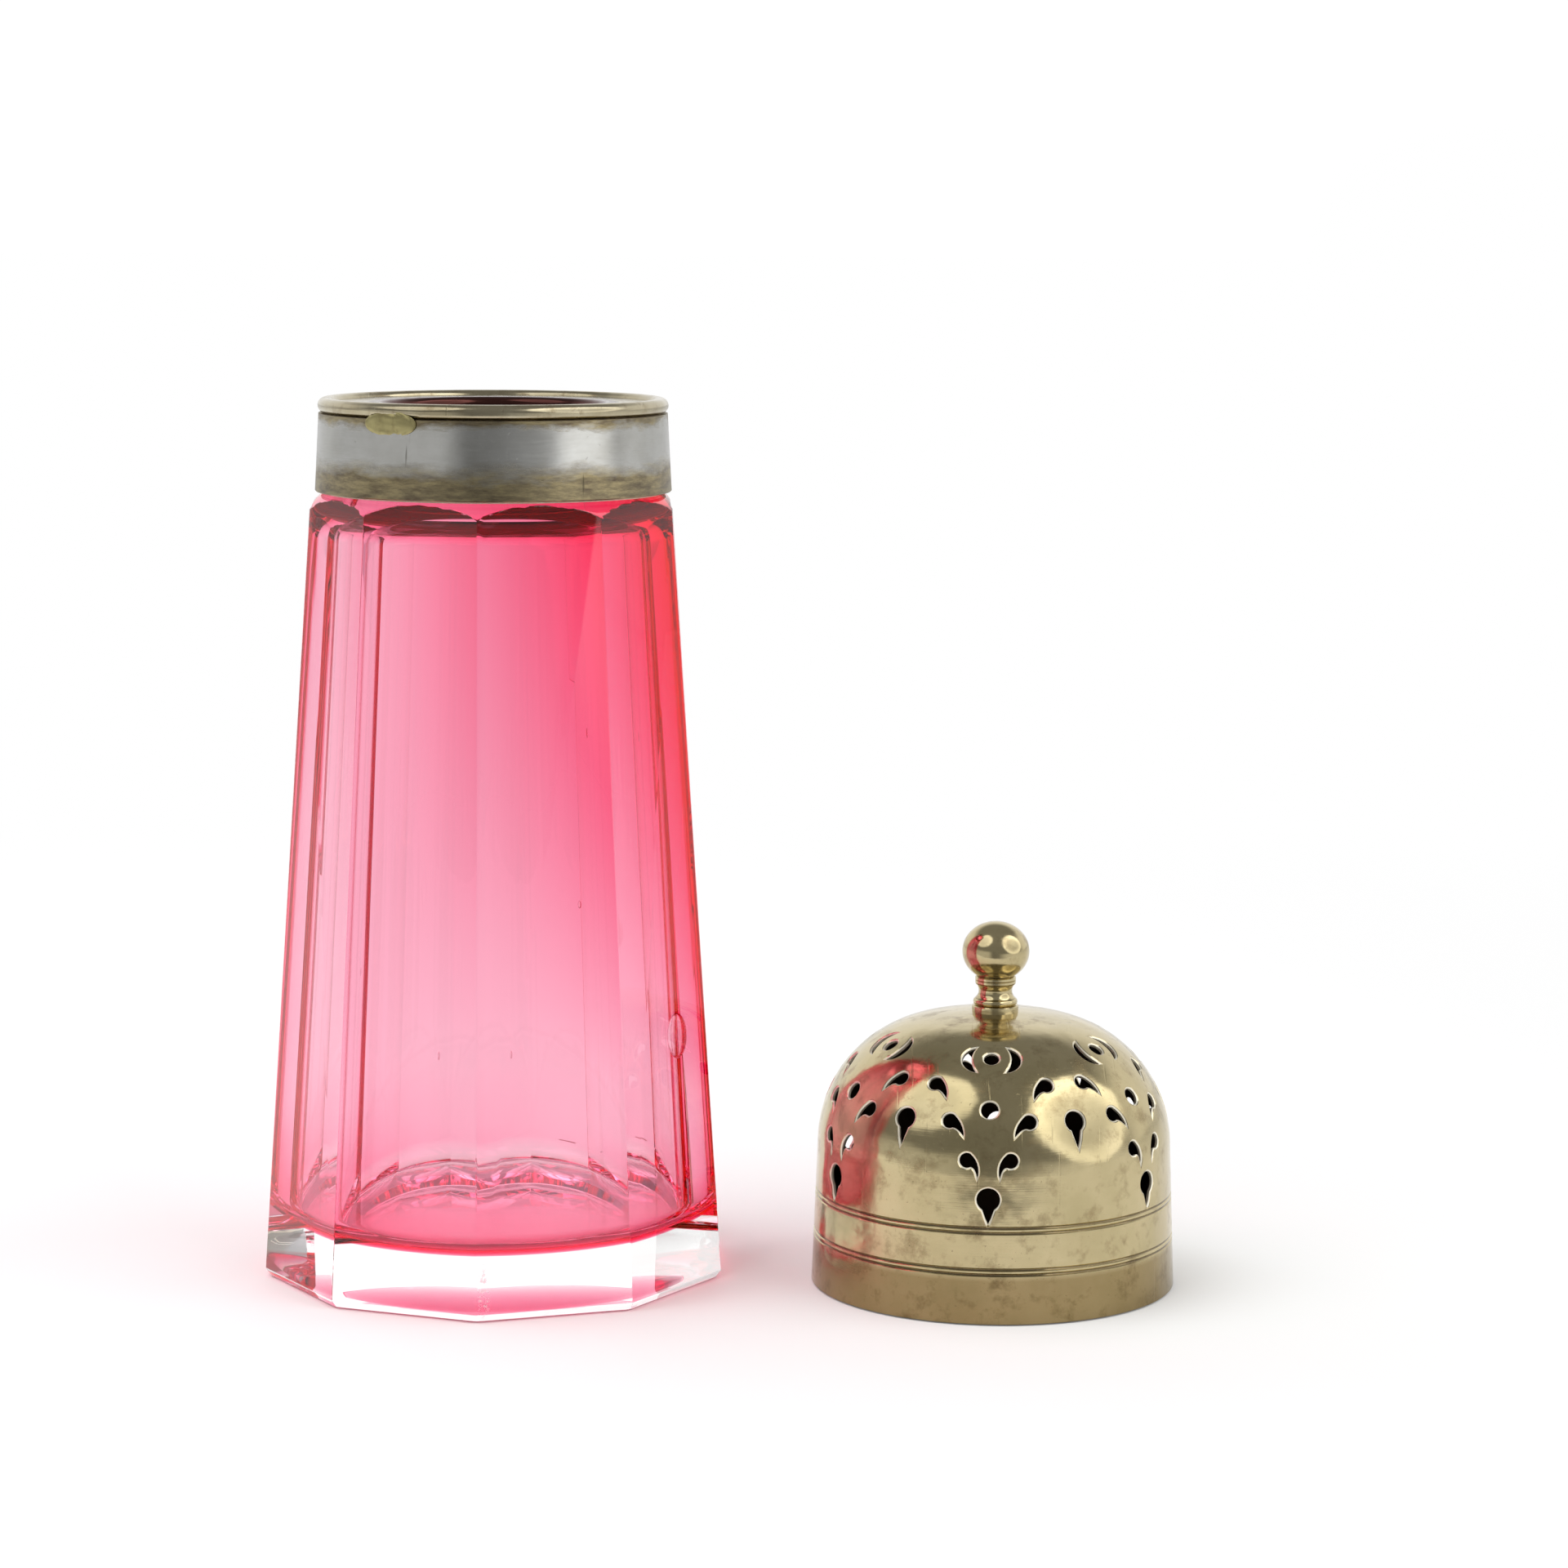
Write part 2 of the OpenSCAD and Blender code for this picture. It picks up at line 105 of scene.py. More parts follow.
# Pierced cap, which stands beside the glass
CAP_PLACE = Vector((69.0, -7.0, 0.0))
CAP_MOUTH = 25.0
SKIRT_TOP = 24.25
SKIRT_H = 19.2
CAP_WALL = 0.6
DOME = (6.4, 19.2, 17.85)
CROWN_ROUND = 50.0
CROWN_DROP = sqrt((CROWN_ROUND - DOME[2]) ** 2 - DOME[0] ** 2)
CROWN_CENTRE = SKIRT_H - CROWN_DROP
CROWN_TOP = CROWN_CENTRE + CROWN_ROUND
CROWN_ANGLE = atan(CROWN_DROP / DOME[0])
LINES = (6.7, 7.4, 12.3, 13.0)
LINE_DEPTH = 0.18
LINE_HALF = 0.25
STUD = 1.4

# Pierced pattern of the cap: (turn to each side, angle up the dome) in degrees, and the chamfered rims
PATTERN_TURN = -4.4
REPEATS = 6
EYE_UP = 57.2
DOT_UP = 31.0
SPRIG = (7.0, 9.0)
FLOWER_UP = 24.8
LEAVES = ((8.0, 42.2), (16.4, 25.6))
LOW_DROP = 2.4
RIM_CUT = 0.16
RIM_WIDTH = 0.27
PUNCH_DEPTH = 2.2

# Turned finial: radii and heights of its base, bead, cove, ring and ball, from the crown up
BASE = (3.2, 0.8)
FINIAL_BEAD = (2.55, 0.5)
COVE, WAIST = 1.3, 2.3
STEM_H = 2.95
RING, RING_H = 2.8, 1.05
BALL, BALL_HALF, BALL_SEAT = 4.6, 4.1, 2.5
STUD_LENGTH = 4.05

# Studio: round softboxes by direction, width in degrees, level in the middle and at the rim
SOFTBOXES = (((-0.6, -0.34, 0.76), 23.0, 1.05, 1.3), ((0.8, -0.335, 0.5), 32.0, 1.25, 2.2))
TOP_LIGHT = {"place": (-0.5, -0.12, 0.98), "size": 1.2, "energy": 7.0}
FLOOR_SIZE = 12.0
FLOOR_FRONT = -0.14
FLOOR_DROP = 0.15
CAMERA_PLACE = Vector((39.85, -572.09, 146.97))
CAMERA_DOWN = 7.87
CAMERA_ROLL = 0.3
CAMERA_LENS = 96.12
CAMERA_SENSOR = 36.0
BOUNCES = 48
MIRROR_BOUNCES = 16


def rest_selection():
    """Leaves nothing selected, so that the next operator acts on its own piece alone."""
    if bpy.context.object and bpy.context.object.mode != "OBJECT":
        bpy.ops.object.mode_set(mode="OBJECT")
    bpy.ops.object.select_all(action="DESELECT")


def pick(piece):
    rest_selection()
    piece.select_set(True)
    bpy.context.view_layer.objects.active = piece


def round_points(centre_r, centre_z, radius, start, end, steps):
    """Points along a round of the outline, from one angle to another, in degrees."""
    angles = [start + (end - start) * i / steps for i in range(steps + 1)]
    return [(centre_r + radius * cos(radians(a)), centre_z + radius * sin(radians(a))) for a in angles]


def draw_line(name, points):
    """Draws a line through the points, in mm, by pulling one vertex along them."""
    rest_selection()
    bpy.ops.mesh.primitive_plane_add(size=MM, location=Vector(points[0]) * MM)
    piece = bpy.context.object
    piece.name = name
    bpy.ops.object.transform_apply(location=True, rotation=True, scale=True)
    bpy.ops.object.mode_set(mode="EDIT")
    bpy.ops.mesh.select_mode(type="VERT")
    bpy.ops.mesh.select_all(action="SELECT")
    bpy.ops.mesh.merge(type="CENTER")
    for here, there in zip(points, points[1:]):
        step = (Vector(there) - Vector(here)) * MM
        bpy.ops.mesh.extrude_region_move(TRANSFORM_OT_translate={"value": step})
    return piece


def turned(name, outline, steps, axis=(0.0, 0.0), start=0.0):
    """Turns an outline of (radius, height) points about an upright axis, as on a lathe."""
    if outline[0][0] > 0 or outline[-1][0] > 0:
        outline = outline + outline[:1]
    side = Vector((cos(start), sin(start), 0.0))
    foot = Vector((axis[0], axis[1], 0.0))
    piece = draw_line(name, [foot + side * r + Vector((0.0, 0.0, z)) for r, z in outline])
    bpy.ops.mesh.select_all(action="SELECT")
    bpy.ops.mesh.spin(steps=steps, angle=2 * pi, center=foot * MM, axis=(0.0, 0.0, 1.0))
    bpy.ops.mesh.select_all(action="SELECT")
    bpy.ops.mesh.remove_doubles(threshold=1e-6)
    bpy.ops.mesh.normals_make_consistent(inside=False)
    bpy.ops.object.mode_set(mode="OBJECT")
    return piece


def smooth(piece, angle):
    pick(piece)
    bpy.ops.object.shade_smooth_by_angle(angle=radians(angle))


def hollow_points(grow, top, neck_extra=0.0):
    """Outline of the hollow from its floor to the rim, grown outwards by grow(height)."""
    floor_z = FLOOR + FLOOR_ROUND
    floor_r = HOLLOW_FOOT - FLOOR_ROUND * (tan(HOLLOW_LEAN) + 1 / cos(HOLLOW_LEAN))
    round_r = HOLLOW_TOP - HOLLOW_ROUND * cos(HOLLOW_LEAN)
    round_z = HOLLOW_SHOULDER - HOLLOW_ROUND * sin(HOLLOW_LEAN)
    lean = HOLLOW_LEAN * 180 / pi
    high = grow(HOLLOW_SHOULDER)
    neck = NECK_HOLLOW + high + neck_extra
    neck_angle = acos((neck - round_r) / (HOLLOW_ROUND + high + neck_extra)) * 180 / pi
    points = [(0.0, FLOOR - grow(FLOOR))]
    for i in range(15):
        angle = -90 + (90 + lean) * i / 14
        out = FLOOR_ROUND + grow(floor_z + FLOOR_ROUND * sin(radians(angle)))
        points += round_points(floor_r, floor_z, out, angle, angle, 1)[:1]
    foot_z = points[-1][1]
    for i in range(1, 24):
        z = foot_z + (HOLLOW_SHOULDER - foot_z) * i / 24
        wall = HOLLOW_FOOT + (HOLLOW_TOP - HOLLOW_FOOT) * (z - FLOOR) / (HOLLOW_SHOULDER - FLOOR)
        points.append((wall + grow(z) / cos(HOLLOW_LEAN), z))
    for i in range(13):
        angle = lean + (neck_angle - lean) * i / 12
        out = HOLLOW_ROUND + high + neck_extra * i / 12
        points += round_points(round_r, round_z, out, angle, angle, 1)[:1]
    return points + [(neck, top)]


def layer_thickness(z):
    """Thickness of the ruby layer at a height, with its own value on the floor of the hollow."""
    floor_share = min(1.0, max(0.0, 1 - (z - FLOOR) / FLOOR_ROUND))
    wall = LAYER_FOOT + LAYER_GROWTH * max(0.0, z - LAYER_LOW) + LAYER_SWELL * max(0.0, LAYER_LOW - z)
    return wall + (LAYER_FLOOR - wall) * floor_share


def corner_turn(i):
    """Direction of a corner between two flats, in degrees about the axis."""
    even = 2 * pi * i / FLATS
    return FLATS_TURN - 90 + 360 * i / FLATS + FLATS_SPREAD * sin(even) + FLATS_SKEW * (1 - cos(even))


def flat_axes(i):
    """Directions of one flat: outwards, to its right hand and up along it, and the middle of its foot."""
    turn = radians(corner_turn(i) + corner_turn(i + 1)) / 2
    inset = cos(radians(corner_turn(i + 1) - corner_turn(i)) / 2)
    lean = atan((FOOT_CORNER - TOP_CORNER) * inset / FLATS_TOP)
    out = Vector((cos(turn) * cos(lean), sin(turn) * cos(lean), sin(lean)))
    side = Vector((-sin(turn), cos(turn), 0.0))
    return out, side, out.cross(side), Vector((cos(turn), sin(turn), 0.0)) * FOOT_CORNER * inset


def grind(point, out):
    """Grinds the glass off beyond a plane and closes the cut."""
    bpy.ops.mesh.select_all(action="SELECT")
    bpy.ops.mesh.bisect(plane_co=point * MM, plane_no=out, use_fill=True, clear_outer=True)


def cut_glass():
    """The blown blank with its hollow, its flats ground and its edges polished."""
    neck_angle = acos((NECK - SHOULDER[0]) / SHOULDER[2]) * 180 / pi
    outline = [(RECESS[0] * i / 13, RECESS[1] * (1 - (i / 13) ** 2)) for i in range(14)]
    outline += [(RECESS[0] + RECESS_EDGE, 0.0), (FOOT_REST, 0.0), BLANK_FOOT]
    outline += round_points(*SHOULDER, 0, neck_angle, 24)
    outline += [(NECK, RIM_TOP - RIM_BEVEL), (NECK - RIM_BEVEL, RIM_TOP)]
    outline += hollow_points(lambda z: 0.0, RIM_TOP)[::-1]
    glass = turned("cut_glass", outline, FLATS * 20, start=radians(corner_turn(0)))
    bpy.ops.object.mode_set(mode="EDIT")
    for i in range(FLATS):
        out, _, _, foot = flat_axes(i)
        grind(foot, out)
    for i in range(FLATS):
        out, _, _, foot = flat_axes(i)
        grind(foot - out * FOOT_BEVEL * BEVEL_SLOPE, Vector((out.x, out.y, -BEVEL_SLOPE)).normalized())
    bpy.ops.mesh.select_all(action="DESELECT")
    bpy.ops.mesh.select_mode(type="EDGE")
    bpy.ops.mesh.edges_select_sharp(sharpness=radians(SHARP_EDGE))
    bpy.ops.mesh.bevel(offset=EDGE_POLISH * MM, segments=2, affect="EDGES", clamp_overlap=False)
    bpy.ops.object.mode_set(mode="OBJECT")
    smooth(glass, 10)
    return glass


def air_bubble(glass, flat, along, height, deep, halves):
    """An air bubble in the wall behind a flat: half sizes outwards, along the flat and up."""
    out, side, up, foot = flat_axes(flat)
    centre = foot + side * along + up * height - out * deep
    rest_selection()
    bpy.ops.mesh.primitive_uv_sphere_add(segments=32, ring_count=20, radius=MM)
    bubble = bpy.context.object
    axes = Matrix((out, side, up)).transposed().to_4x4()
    bubble.matrix_world = Matrix.Translation(centre * MM) @ axes @ Matrix.Diagonal((*halves, 1.0))
    bpy.ops.object.transform_apply(location=True, rotation=True, scale=True)
    bpy.ops.object.shade_smooth()
    bpy.ops.object.mode_set(mode="EDIT")
    bpy.ops.mesh.select_all(action="SELECT")
    bpy.ops.mesh.flip_normals()
    bpy.ops.object.mode_set(mode="OBJECT")
    glass.select_set(True)
    bpy.context.view_layer.objects.active = glass
    bpy.ops.object.join()


def ruby_layer():
    """The ruby layer in the glass wall: thin at the foot, thicker to the neck and to the right.

    Its outer face leans to the right, and the floor of that face leans on its own, from front to back.
    """
    top = RIM_TOP - LAYER_END
    inner = hollow_points(lambda z: LAYER_GAP, top)
    layer = turned("ruby_layer", inner + hollow_points(layer_thickness, top, LAYER_NECK)[::-1], 144)
    bpy.ops.object.mode_set(mode="EDIT")
    bpy.ops.mesh.select_all(action="DESELECT")
    mesh = bmesh.from_edit_mesh(layer.data)
    for vert in mesh.verts:
        r, z = vert.co.xy.length / MM, vert.co.z / MM
        vert.select = min(abs(r - a) + abs(z - b) for a, b in inner) > 0.1 * LAYER_GAP
    mesh.select_flush(True)
    bmesh.update_edit_mesh(layer.data)
    low = Vector((0.0, 0.0, LAYER_LOW)) * MM
    bpy.ops.transform.rotate(value=-LAYER_LEAN, orient_axis="Y", center_override=low)
    mesh = bmesh.from_edit_mesh(layer.data)
    for vert in mesh.verts:
        vert.select = vert.select and vert.co.z < (FLOOR + FLOOR_ROUND) * MM
    mesh.select_flush(True)
    bmesh.update_edit_mesh(layer.data)
    bpy.ops.transform.rotate(value=LAYER_LEAN, orient_axis="Y", center_override=low)
    base = Vector((0.0, 0.0, FLOOR)) * MM
    bpy.ops.transform.rotate(value=FLOOR_LEAN, orient_axis="X", center_override=base)
    bpy.ops.object.mode_set(mode="OBJECT")
    smooth(layer, 40)
    return layer


def collar_band():
    """The conical band round the neck, its lower edge broken."""
    foot_r, foot_z = BAND_FOOT
    top_r, top_z = BAND_TOP
    edge = 0.14
    outline = [(foot_r - SHEET, foot_z), (foot_r - edge, foot_z), (foot_r, foot_z + edge)]
    for i in range(1, 8):
        outline.append((foot_r + (top_r - foot_r) * i / 8, foot_z + (top_z - foot_z) * i / 8))
    outline += [(top_r, top_z), (top_r - SHEET, top_z)]
    band = turned("collar_band_worn", outline, 160)
    smooth(band, 30)
    return band


def collar_rim():
    """The rim on the band: bead, flange and the throat that is turned down."""
    bead_r, bead_z, bead = BEAD
    foot_lap = 0.3
    under = FLANGE_TOP - SHEET
    bend_z = FLANGE_TOP - THROAT_BEND
    bend_r = THROAT + THROAT_BEND
    lip = asin((FLANGE_TOP - bead_z) / bead) * 180 / pi
    heel = bead_r - sqrt(bead**2 - (bead_z - under) ** 2)
    outline = [(THROAT, THROAT_END)]
    outline += round_points(bend_r, bend_z, THROAT_BEND, 180, 90, 8)
    outline += [(bend_r + (bead_r - bead - bend_r) * share, FLANGE_TOP) for share in (0.33, 0.66, 0.95)]
    outline += round_points(bead_r, bead_z, bead, 180 - lip, -90, 22)
    outline += [(bead_r - foot_lap, bead_z - bead), (heel, under)]
    outline += round_points(bend_r, bend_z, THROAT_BEND - SHEET, 90, 180, 5)
    outline += [(THROAT + SHEET, THROAT_END)]
    rim = turned("collar_rim_worn", outline, 160)
    smooth(rim, 40)
    return rim


def solder_run():
    """The run of yellow solder that closes the joint between band and bead."""
    rest_selection()
    bpy.ops.mesh.primitive_uv_sphere_add(segments=32, ring_count=16, radius=MM)
    run = bpy.context.object
    run.name = "solder_run"
    share = (SOLDER_HEIGHT - BAND_FOOT[1]) / (BAND_TOP[1] - BAND_FOOT[1])
    radius = BAND_FOOT[0] + (BAND_TOP[0] - BAND_FOOT[0]) * share - SOLDER_SINK
    place = Matrix.Rotation(radians(-90 + SOLDER_TURN), 4, "Z")
    place = place @ Matrix.Translation(Vector((radius, 0.0, SOLDER_HEIGHT)) * MM)
    run.matrix_world = place @ Matrix.Diagonal((*SOLDER_HALVES, 1.0))
    bpy.ops.object.transform_apply(location=True, rotation=True, scale=True)
    bpy.ops.object.mode_set(mode="EDIT")
    bpy.ops.mesh.select_all(action="SELECT")
    bpy.ops.transform.vertex_random(offset=SOLDER_RAGGED * MM, uniform=0.0, normal=0.0, seed=7)
    bpy.ops.mesh.vertices_smooth(factor=0.5, repeat=2)
    bpy.ops.object.mode_set(mode="OBJECT")
    bpy.ops.object.shade_smooth()
    return run


def skirt_r(z):
    """Outer radius of the cap's skirt at a height."""
    return CAP_MOUTH - (CAP_MOUTH - SKIRT_TOP) * z / SKIRT_H


def cap_shell():
    """The spun cap before it is pierced: skirt with incised lines, dome and flattened crown."""
    edge = 0.12
    outline = [(CAP_MOUTH - CAP_WALL, edge), (CAP_MOUTH - CAP_WALL + edge, 0.0)]
    outline += [(CAP_MOUTH - edge, 0.0), (CAP_MOUTH, edge)]
    for z in LINES:
        near, deep = LINE_HALF * 0.45, LINE_DEPTH * 0.8
        outline += [(skirt_r(z - LINE_HALF), z - LINE_HALF), (skirt_r(z) - deep, z - near)]
        outline += [(skirt_r(z) - LINE_DEPTH, z), (skirt_r(z) - deep, z + near)]
        outline += [(skirt_r(z + LINE_HALF), z + LINE_HALF)]
    outline += [(skirt_r(z), z) for z in (15.0, 17.0)]
    crown = CROWN_ANGLE * 180 / pi
    outline += round_points(*DOME, 0, crown, 44)
    hole = 90 - asin((STUD + 0.05) / CROWN_ROUND) * 180 / pi
    outline += round_points(0.0, CROWN_CENTRE, CROWN_ROUND, crown, hole, 8)[1:]
    outline += round_points(0.0, CROWN_CENTRE, CROWN_ROUND - CAP_WALL, hole, crown, 6)
    outline += round_points(DOME[0], DOME[1], DOME[2] - CAP_WALL, crown, 0, 26)[1:]
    outline += [(skirt_r(z) - CAP_WALL, z) for z in (14.0, 9.0, 4.0)]
    return turned("pierced_cap_worn", outline, 216, axis=CAP_PLACE.xy)


def bent(a, b, c, steps):
    """Points of a curve from a to c that is pulled towards b."""
    a, b, c = Vector(a), Vector(b), Vector(c)
    shares = [i / steps for i in range(1, steps)]
    return [a * (1 - t) ** 2 + b * 2 * t * (1 - t) + c * t**2 for t in shares]


def ring_of(radius, start, end, steps, centre=(0.0, 0.0)):
    return [Vector(p) for p in round_points(centre[0], centre[1], radius, start, end, steps)]


def grown(points, width):
    """The same outline, drawn counter-clockwise, moved outwards by a width."""
    made = []
    for before, here, after in zip(points[-1:] + points[:-1], points, points[1:] + points[:1]):
        side = (here - before).normalized() + (after - here).normalized()
        out = Vector((side.y, -side.x)).normalized()
        edge = (after - here).normalized()
        made.append(here + out * width / max(0.5, out.dot(Vector((edge.y, -edge.x)))))
    return made


def dot(radius):
    """A round hole."""
    return ring_of(radius, 0, 345, 23)


def drop(head, length):
    """A round head over a straight tail that tapers to a tip."""
    root = -60
    points = ring_of(head, root, 180 - root, 22)
    narrow, middle = head / 4, -(head + length) / 2
    return points + [Vector((-narrow, middle)), Vector((0.0, -length)), Vector((narrow, middle))]


def comma(head, length, slant):
    """A round head with a tail that sweeps over to the right and down to a tip."""
    tip = Vector((sin(radians(slant)), -cos(radians(slant)))) * length
    head_arc = ring_of(head, 62, 298, 18)
    lower = bent(head_arc[-1], (1.2 * head, -0.9 * head), tip, 7)
    upper = bent(tip, (2.0 * head, -0.4 * head), head_arc[0], 7)
    return head_arc + lower + [tip] + upper


def crescent(reach, width, half_h, tip):
    """A crescent that opens towards the middle, with both tips at the same reach."""

    def arc(far):
        centre = far - (half_h**2 + (far - tip) ** 2) / (2 * (far - tip))
        angle = asin(half_h / (far - centre)) * 180 / pi
        return ring_of(far - centre, -angle, angle, 16, (centre, 0.0))

    return arc(reach) + arc(reach - width)[-2:0:-1]


def mirrored(points):
    """The outline turned over to the other hand, still counter-clockwise."""
    return [Vector((-p.x, p.y)) for p in points[::-1]]


def cutter(points, turn, angle, drop_z=None):
    """The face of a punch, at an angle up the dome or at a height of the skirt, grown by its flare."""
    if drop_z is None:
        r, z = round_points(*DOME, angle, angle, 1)[0]
    else:
        r, z = skirt_r(drop_z), drop_z
    flared = grown(points, RIM_WIDTH)
    punch = draw_line("punch", [Vector((p.x, p.y, 0.0)) for p in flared + flared[:1]])
    bpy.ops.mesh.select_all(action="SELECT")
    bpy.ops.mesh.remove_doubles(threshold=1e-7)
    bpy.ops.mesh.edge_face_add()
    bpy.ops.object.mode_set(mode="OBJECT")
    place = Matrix.Translation(CAP_PLACE * MM) @ Matrix.Rotation(radians(turn - 90), 4, "Z")
    place = place @ Matrix.Translation(Vector((r, 0.0, z)) * MM)
    place = place @ Matrix.Rotation(radians(90 - angle), 4, "Y") @ Matrix.Rotation(pi / 2, 4, "Z")
    punch.matrix_world = place
    return punch


def seat_on(punch, shell):
    """Lays the punch's face on the shell and gives it its flare, its shank and its head."""
    pick(punch)
    wrap = punch.modifiers.new("wrap", "SHRINKWRAP")
    wrap.target, wrap.wrap_method = shell, "PROJECT"
    wrap.use_project_z = True
    wrap.use_negative_direction = wrap.use_positive_direction = True
    wrap.project_limit = 2 * MM
    bpy.ops.object.modifier_apply(modifier="wrap")
    bpy.ops.object.transform_apply(location=True, rotation=True, scale=True)
    bpy.ops.object.mode_set(mode="EDIT")
    bpy.ops.mesh.select_mode(type="FACE")
    bpy.ops.mesh.select_all(action="SELECT")
    mesh = bmesh.from_edit_mesh(punch.data)
    mesh.faces.ensure_lookup_table()
    out = mesh.faces[0].normal.copy()
    inside = (CAP_PLACE + Vector((0.0, 0.0, SKIRT_H / 2))) * MM
    if out.dot(mesh.faces[0].calc_center_median() - inside) < 0:
        out.negate()
    bpy.ops.mesh.extrude_region_move(TRANSFORM_OT_translate={"value": out * MM})
    bpy.ops.mesh.select_all(action="SELECT")
    bpy.ops.mesh.normals_make_consistent(inside=False)
    bpy.ops.mesh.select_all(action="DESELECT")
    mesh = bmesh.from_edit_mesh(punch.data)
    inner = min(mesh.faces, key=lambda f: f.normal.dot(out))
    inner.select = True
    bmesh.update_edit_mesh(punch.data)
    bpy.ops.mesh.inset(thickness=RIM_WIDTH * MM, depth=RIM_CUT * MM, use_even_offset=True)
    bpy.ops.mesh.extrude_region_move(TRANSFORM_OT_translate={"value": out * -PUNCH_DEPTH * MM})
    bpy.ops.object.mode_set(mode="OBJECT")


def punches(shell):
    """All the punches of one repeat of the pattern, then its turned copies."""
    low, high, far = comma(1.0, 2.9, 30), comma(1.0, 2.9, 46), crescent(3.95, 1.25, 2.3, 2.0)
    eye, flower = PATTERN_TURN, PATTERN_TURN + 180 / REPEATS
    made = [cutter(outline, eye, EYE_UP) for outline in (dot(1.04), far, mirrored(far))]
    made += [cutter(dot(1.18), eye, DOT_UP), cutter(drop(1.57, 3.4), eye, 0.0, SKIRT_H - LOW_DROP)]
    made += [cutter(low, eye - SPRIG[0], SPRIG[1]), cutter(mirrored(low), eye + SPRIG[0], SPRIG[1])]
    made += [cutter(drop(1.42, 3.8), flower, FLOWER_UP)]
    for side, angle in LEAVES:
        made += [cutter(mirrored(high), flower - side, angle), cutter(high, flower + side, angle)]
    for punch in made:
        seat_on(punch, shell)
    rest_selection()
    for punch in made:
        punch.select_set(True)
    bpy.context.view_layer.objects.active = made[0]
    bpy.ops.object.join()
    whole = bpy.context.object
    bpy.ops.object.mode_set(mode="EDIT")
    bpy.ops.mesh.select_all(action="SELECT")
    for i in range(1, REPEATS):
        bpy.ops.mesh.duplicate_move()
        centre = CAP_PLACE * MM
        bpy.ops.transform.rotate(value=2 * pi / REPEATS, orient_axis="Z", center_override=centre)
    bpy.ops.mesh.select_all(action="SELECT")
    bpy.ops.mesh.normals_make_consistent(inside=False)
    bpy.ops.object.mode_set(mode="OBJECT")
    return whole


def pierced_cap():
    """The cap with all its holes punched through."""
    shell = cap_shell()
    whole = punches(shell)
    pick(shell)
    cut = shell.modifiers.new("pierce", "BOOLEAN")
    cut.operation, cut.solver, cut.object = "DIFFERENCE", "EXACT", whole
    bpy.ops.object.modifier_apply(modifier="pierce")
    bpy.data.objects.remove(whole)
    smooth(shell, 30)
    return shell


def finial():
    """The turned knob: base, bead, cove, ring and ball, with its stud below."""
    base_r, base_h = BASE
    bead_r, bead = FINIAL_BEAD
    base_top = CROWN_TOP + base_h
    bead_top = base_top + 2 * bead
    ring = base_top + STEM_H
    ring_top = ring + RING_H
    ball_z = ring_top + BALL_HALF * sqrt(1 - (BALL_SEAT / BALL) ** 2)
    bow = asin((ring - bead_top) / 2 / COVE) * 180 / pi
    stud_end = CROWN_TOP - STUD_LENGTH
    tip, edge, turn_in = 0.25, 0.12, 0.15
    outline = [(0.0, stud_end), (STUD - tip, stud_end), (STUD, stud_end + tip), (STUD, CROWN_TOP - 0.02)]
    outline += [(base_r, CROWN_TOP - 0.1), (base_r, base_top - edge), (base_r - edge, base_top)]
    outline += [(base_r - bead, base_top)]
    outline += round_points(bead_r, base_top + bead, bead, -70, 90, 10)
    outline += round_points(WAIST + COVE, (bead_top + ring) / 2, COVE, 180 + bow, 180 - bow, 12)
    outline += [(RING - turn_in, ring), (RING, ring + turn_in)]
    outline += [(RING, ring + 0.46), (RING - 0.13, ring + 0.53), (RING, ring + 0.6)]
    outline += [(RING, ring_top - turn_in), (RING - turn_in, ring_top)]
    start = -acos(BALL_SEAT / BALL) * 180 / pi
    for r, z in round_points(0.0, ball_z, BALL, start, 90, 34)[:-1]:
        outline.append((r, ball_z + (z - ball_z) * BALL_HALF / BALL))
    knob = turned("finial_turned", outline + [(0.0, ball_z + BALL_HALF)], 96, axis=CAP_PLACE.xy)
    smooth(knob, 35)
    return knob


# Materials


def new_material(name):
    """A new material with its node tree and its main shader."""
    material = bpy.data.materials.new(name)
    material.use_nodes = True
    tree = material.node_tree
    return material, tree, tree.nodes["Principled BSDF"]


def add(tree, kind, values=None, **settings):
    """A node of a kind, with its settings and the values of its inputs."""
    made = tree.nodes.new(kind)
    for key, value in settings.items():
        setattr(made, key, value)
    for key, value in (values or {}).items():
        made.inputs[key].default_value = value
    return made


def wire(tree, source, target, socket, output=0):
    tree.links.new(source.outputs[output], target.inputs[socket])


def coordinates(tree, scale=(1.0, 1.0, 1.0), place=(0.0, 0.0, 0.0), turn=(0.0, 0.0, 0.0)):
    """Object coordinates, moved, turned and stretched by a Mapping node."""
    source = add(tree, "ShaderNodeTexCoord")
    mapping = add(tree, "ShaderNodeMapping", {"Location": place, "Rotation": turn, "Scale": scale})
    wire(tree, source, mapping, "Vector", "Object")
    return mapping


def noise(tree, vector, scale, detail=4.0, rough=0.55):
    made = add(tree, "ShaderNodeTexNoise", {"Scale": scale, "Detail": detail, "Roughness": rough})
    wire(tree, vector, made, "Vector")
    return made


def ramp(tree, source, stops, output=0):
    """A colour ramp over a source, from (place, colour or level) stops."""
    made = add(tree, "ShaderNodeValToRGB")
    elements = made.color_ramp.elements
    while len(elements) < len(stops):
        elements.new(0.5)
    for element, (place, colour) in zip(elements, stops):
        element.position = place
        element.color = (*colour, 1.0) if isinstance(colour, tuple) else (colour, colour, colour, 1.0)
    wire(tree, source, made, "Fac", output)
    return made


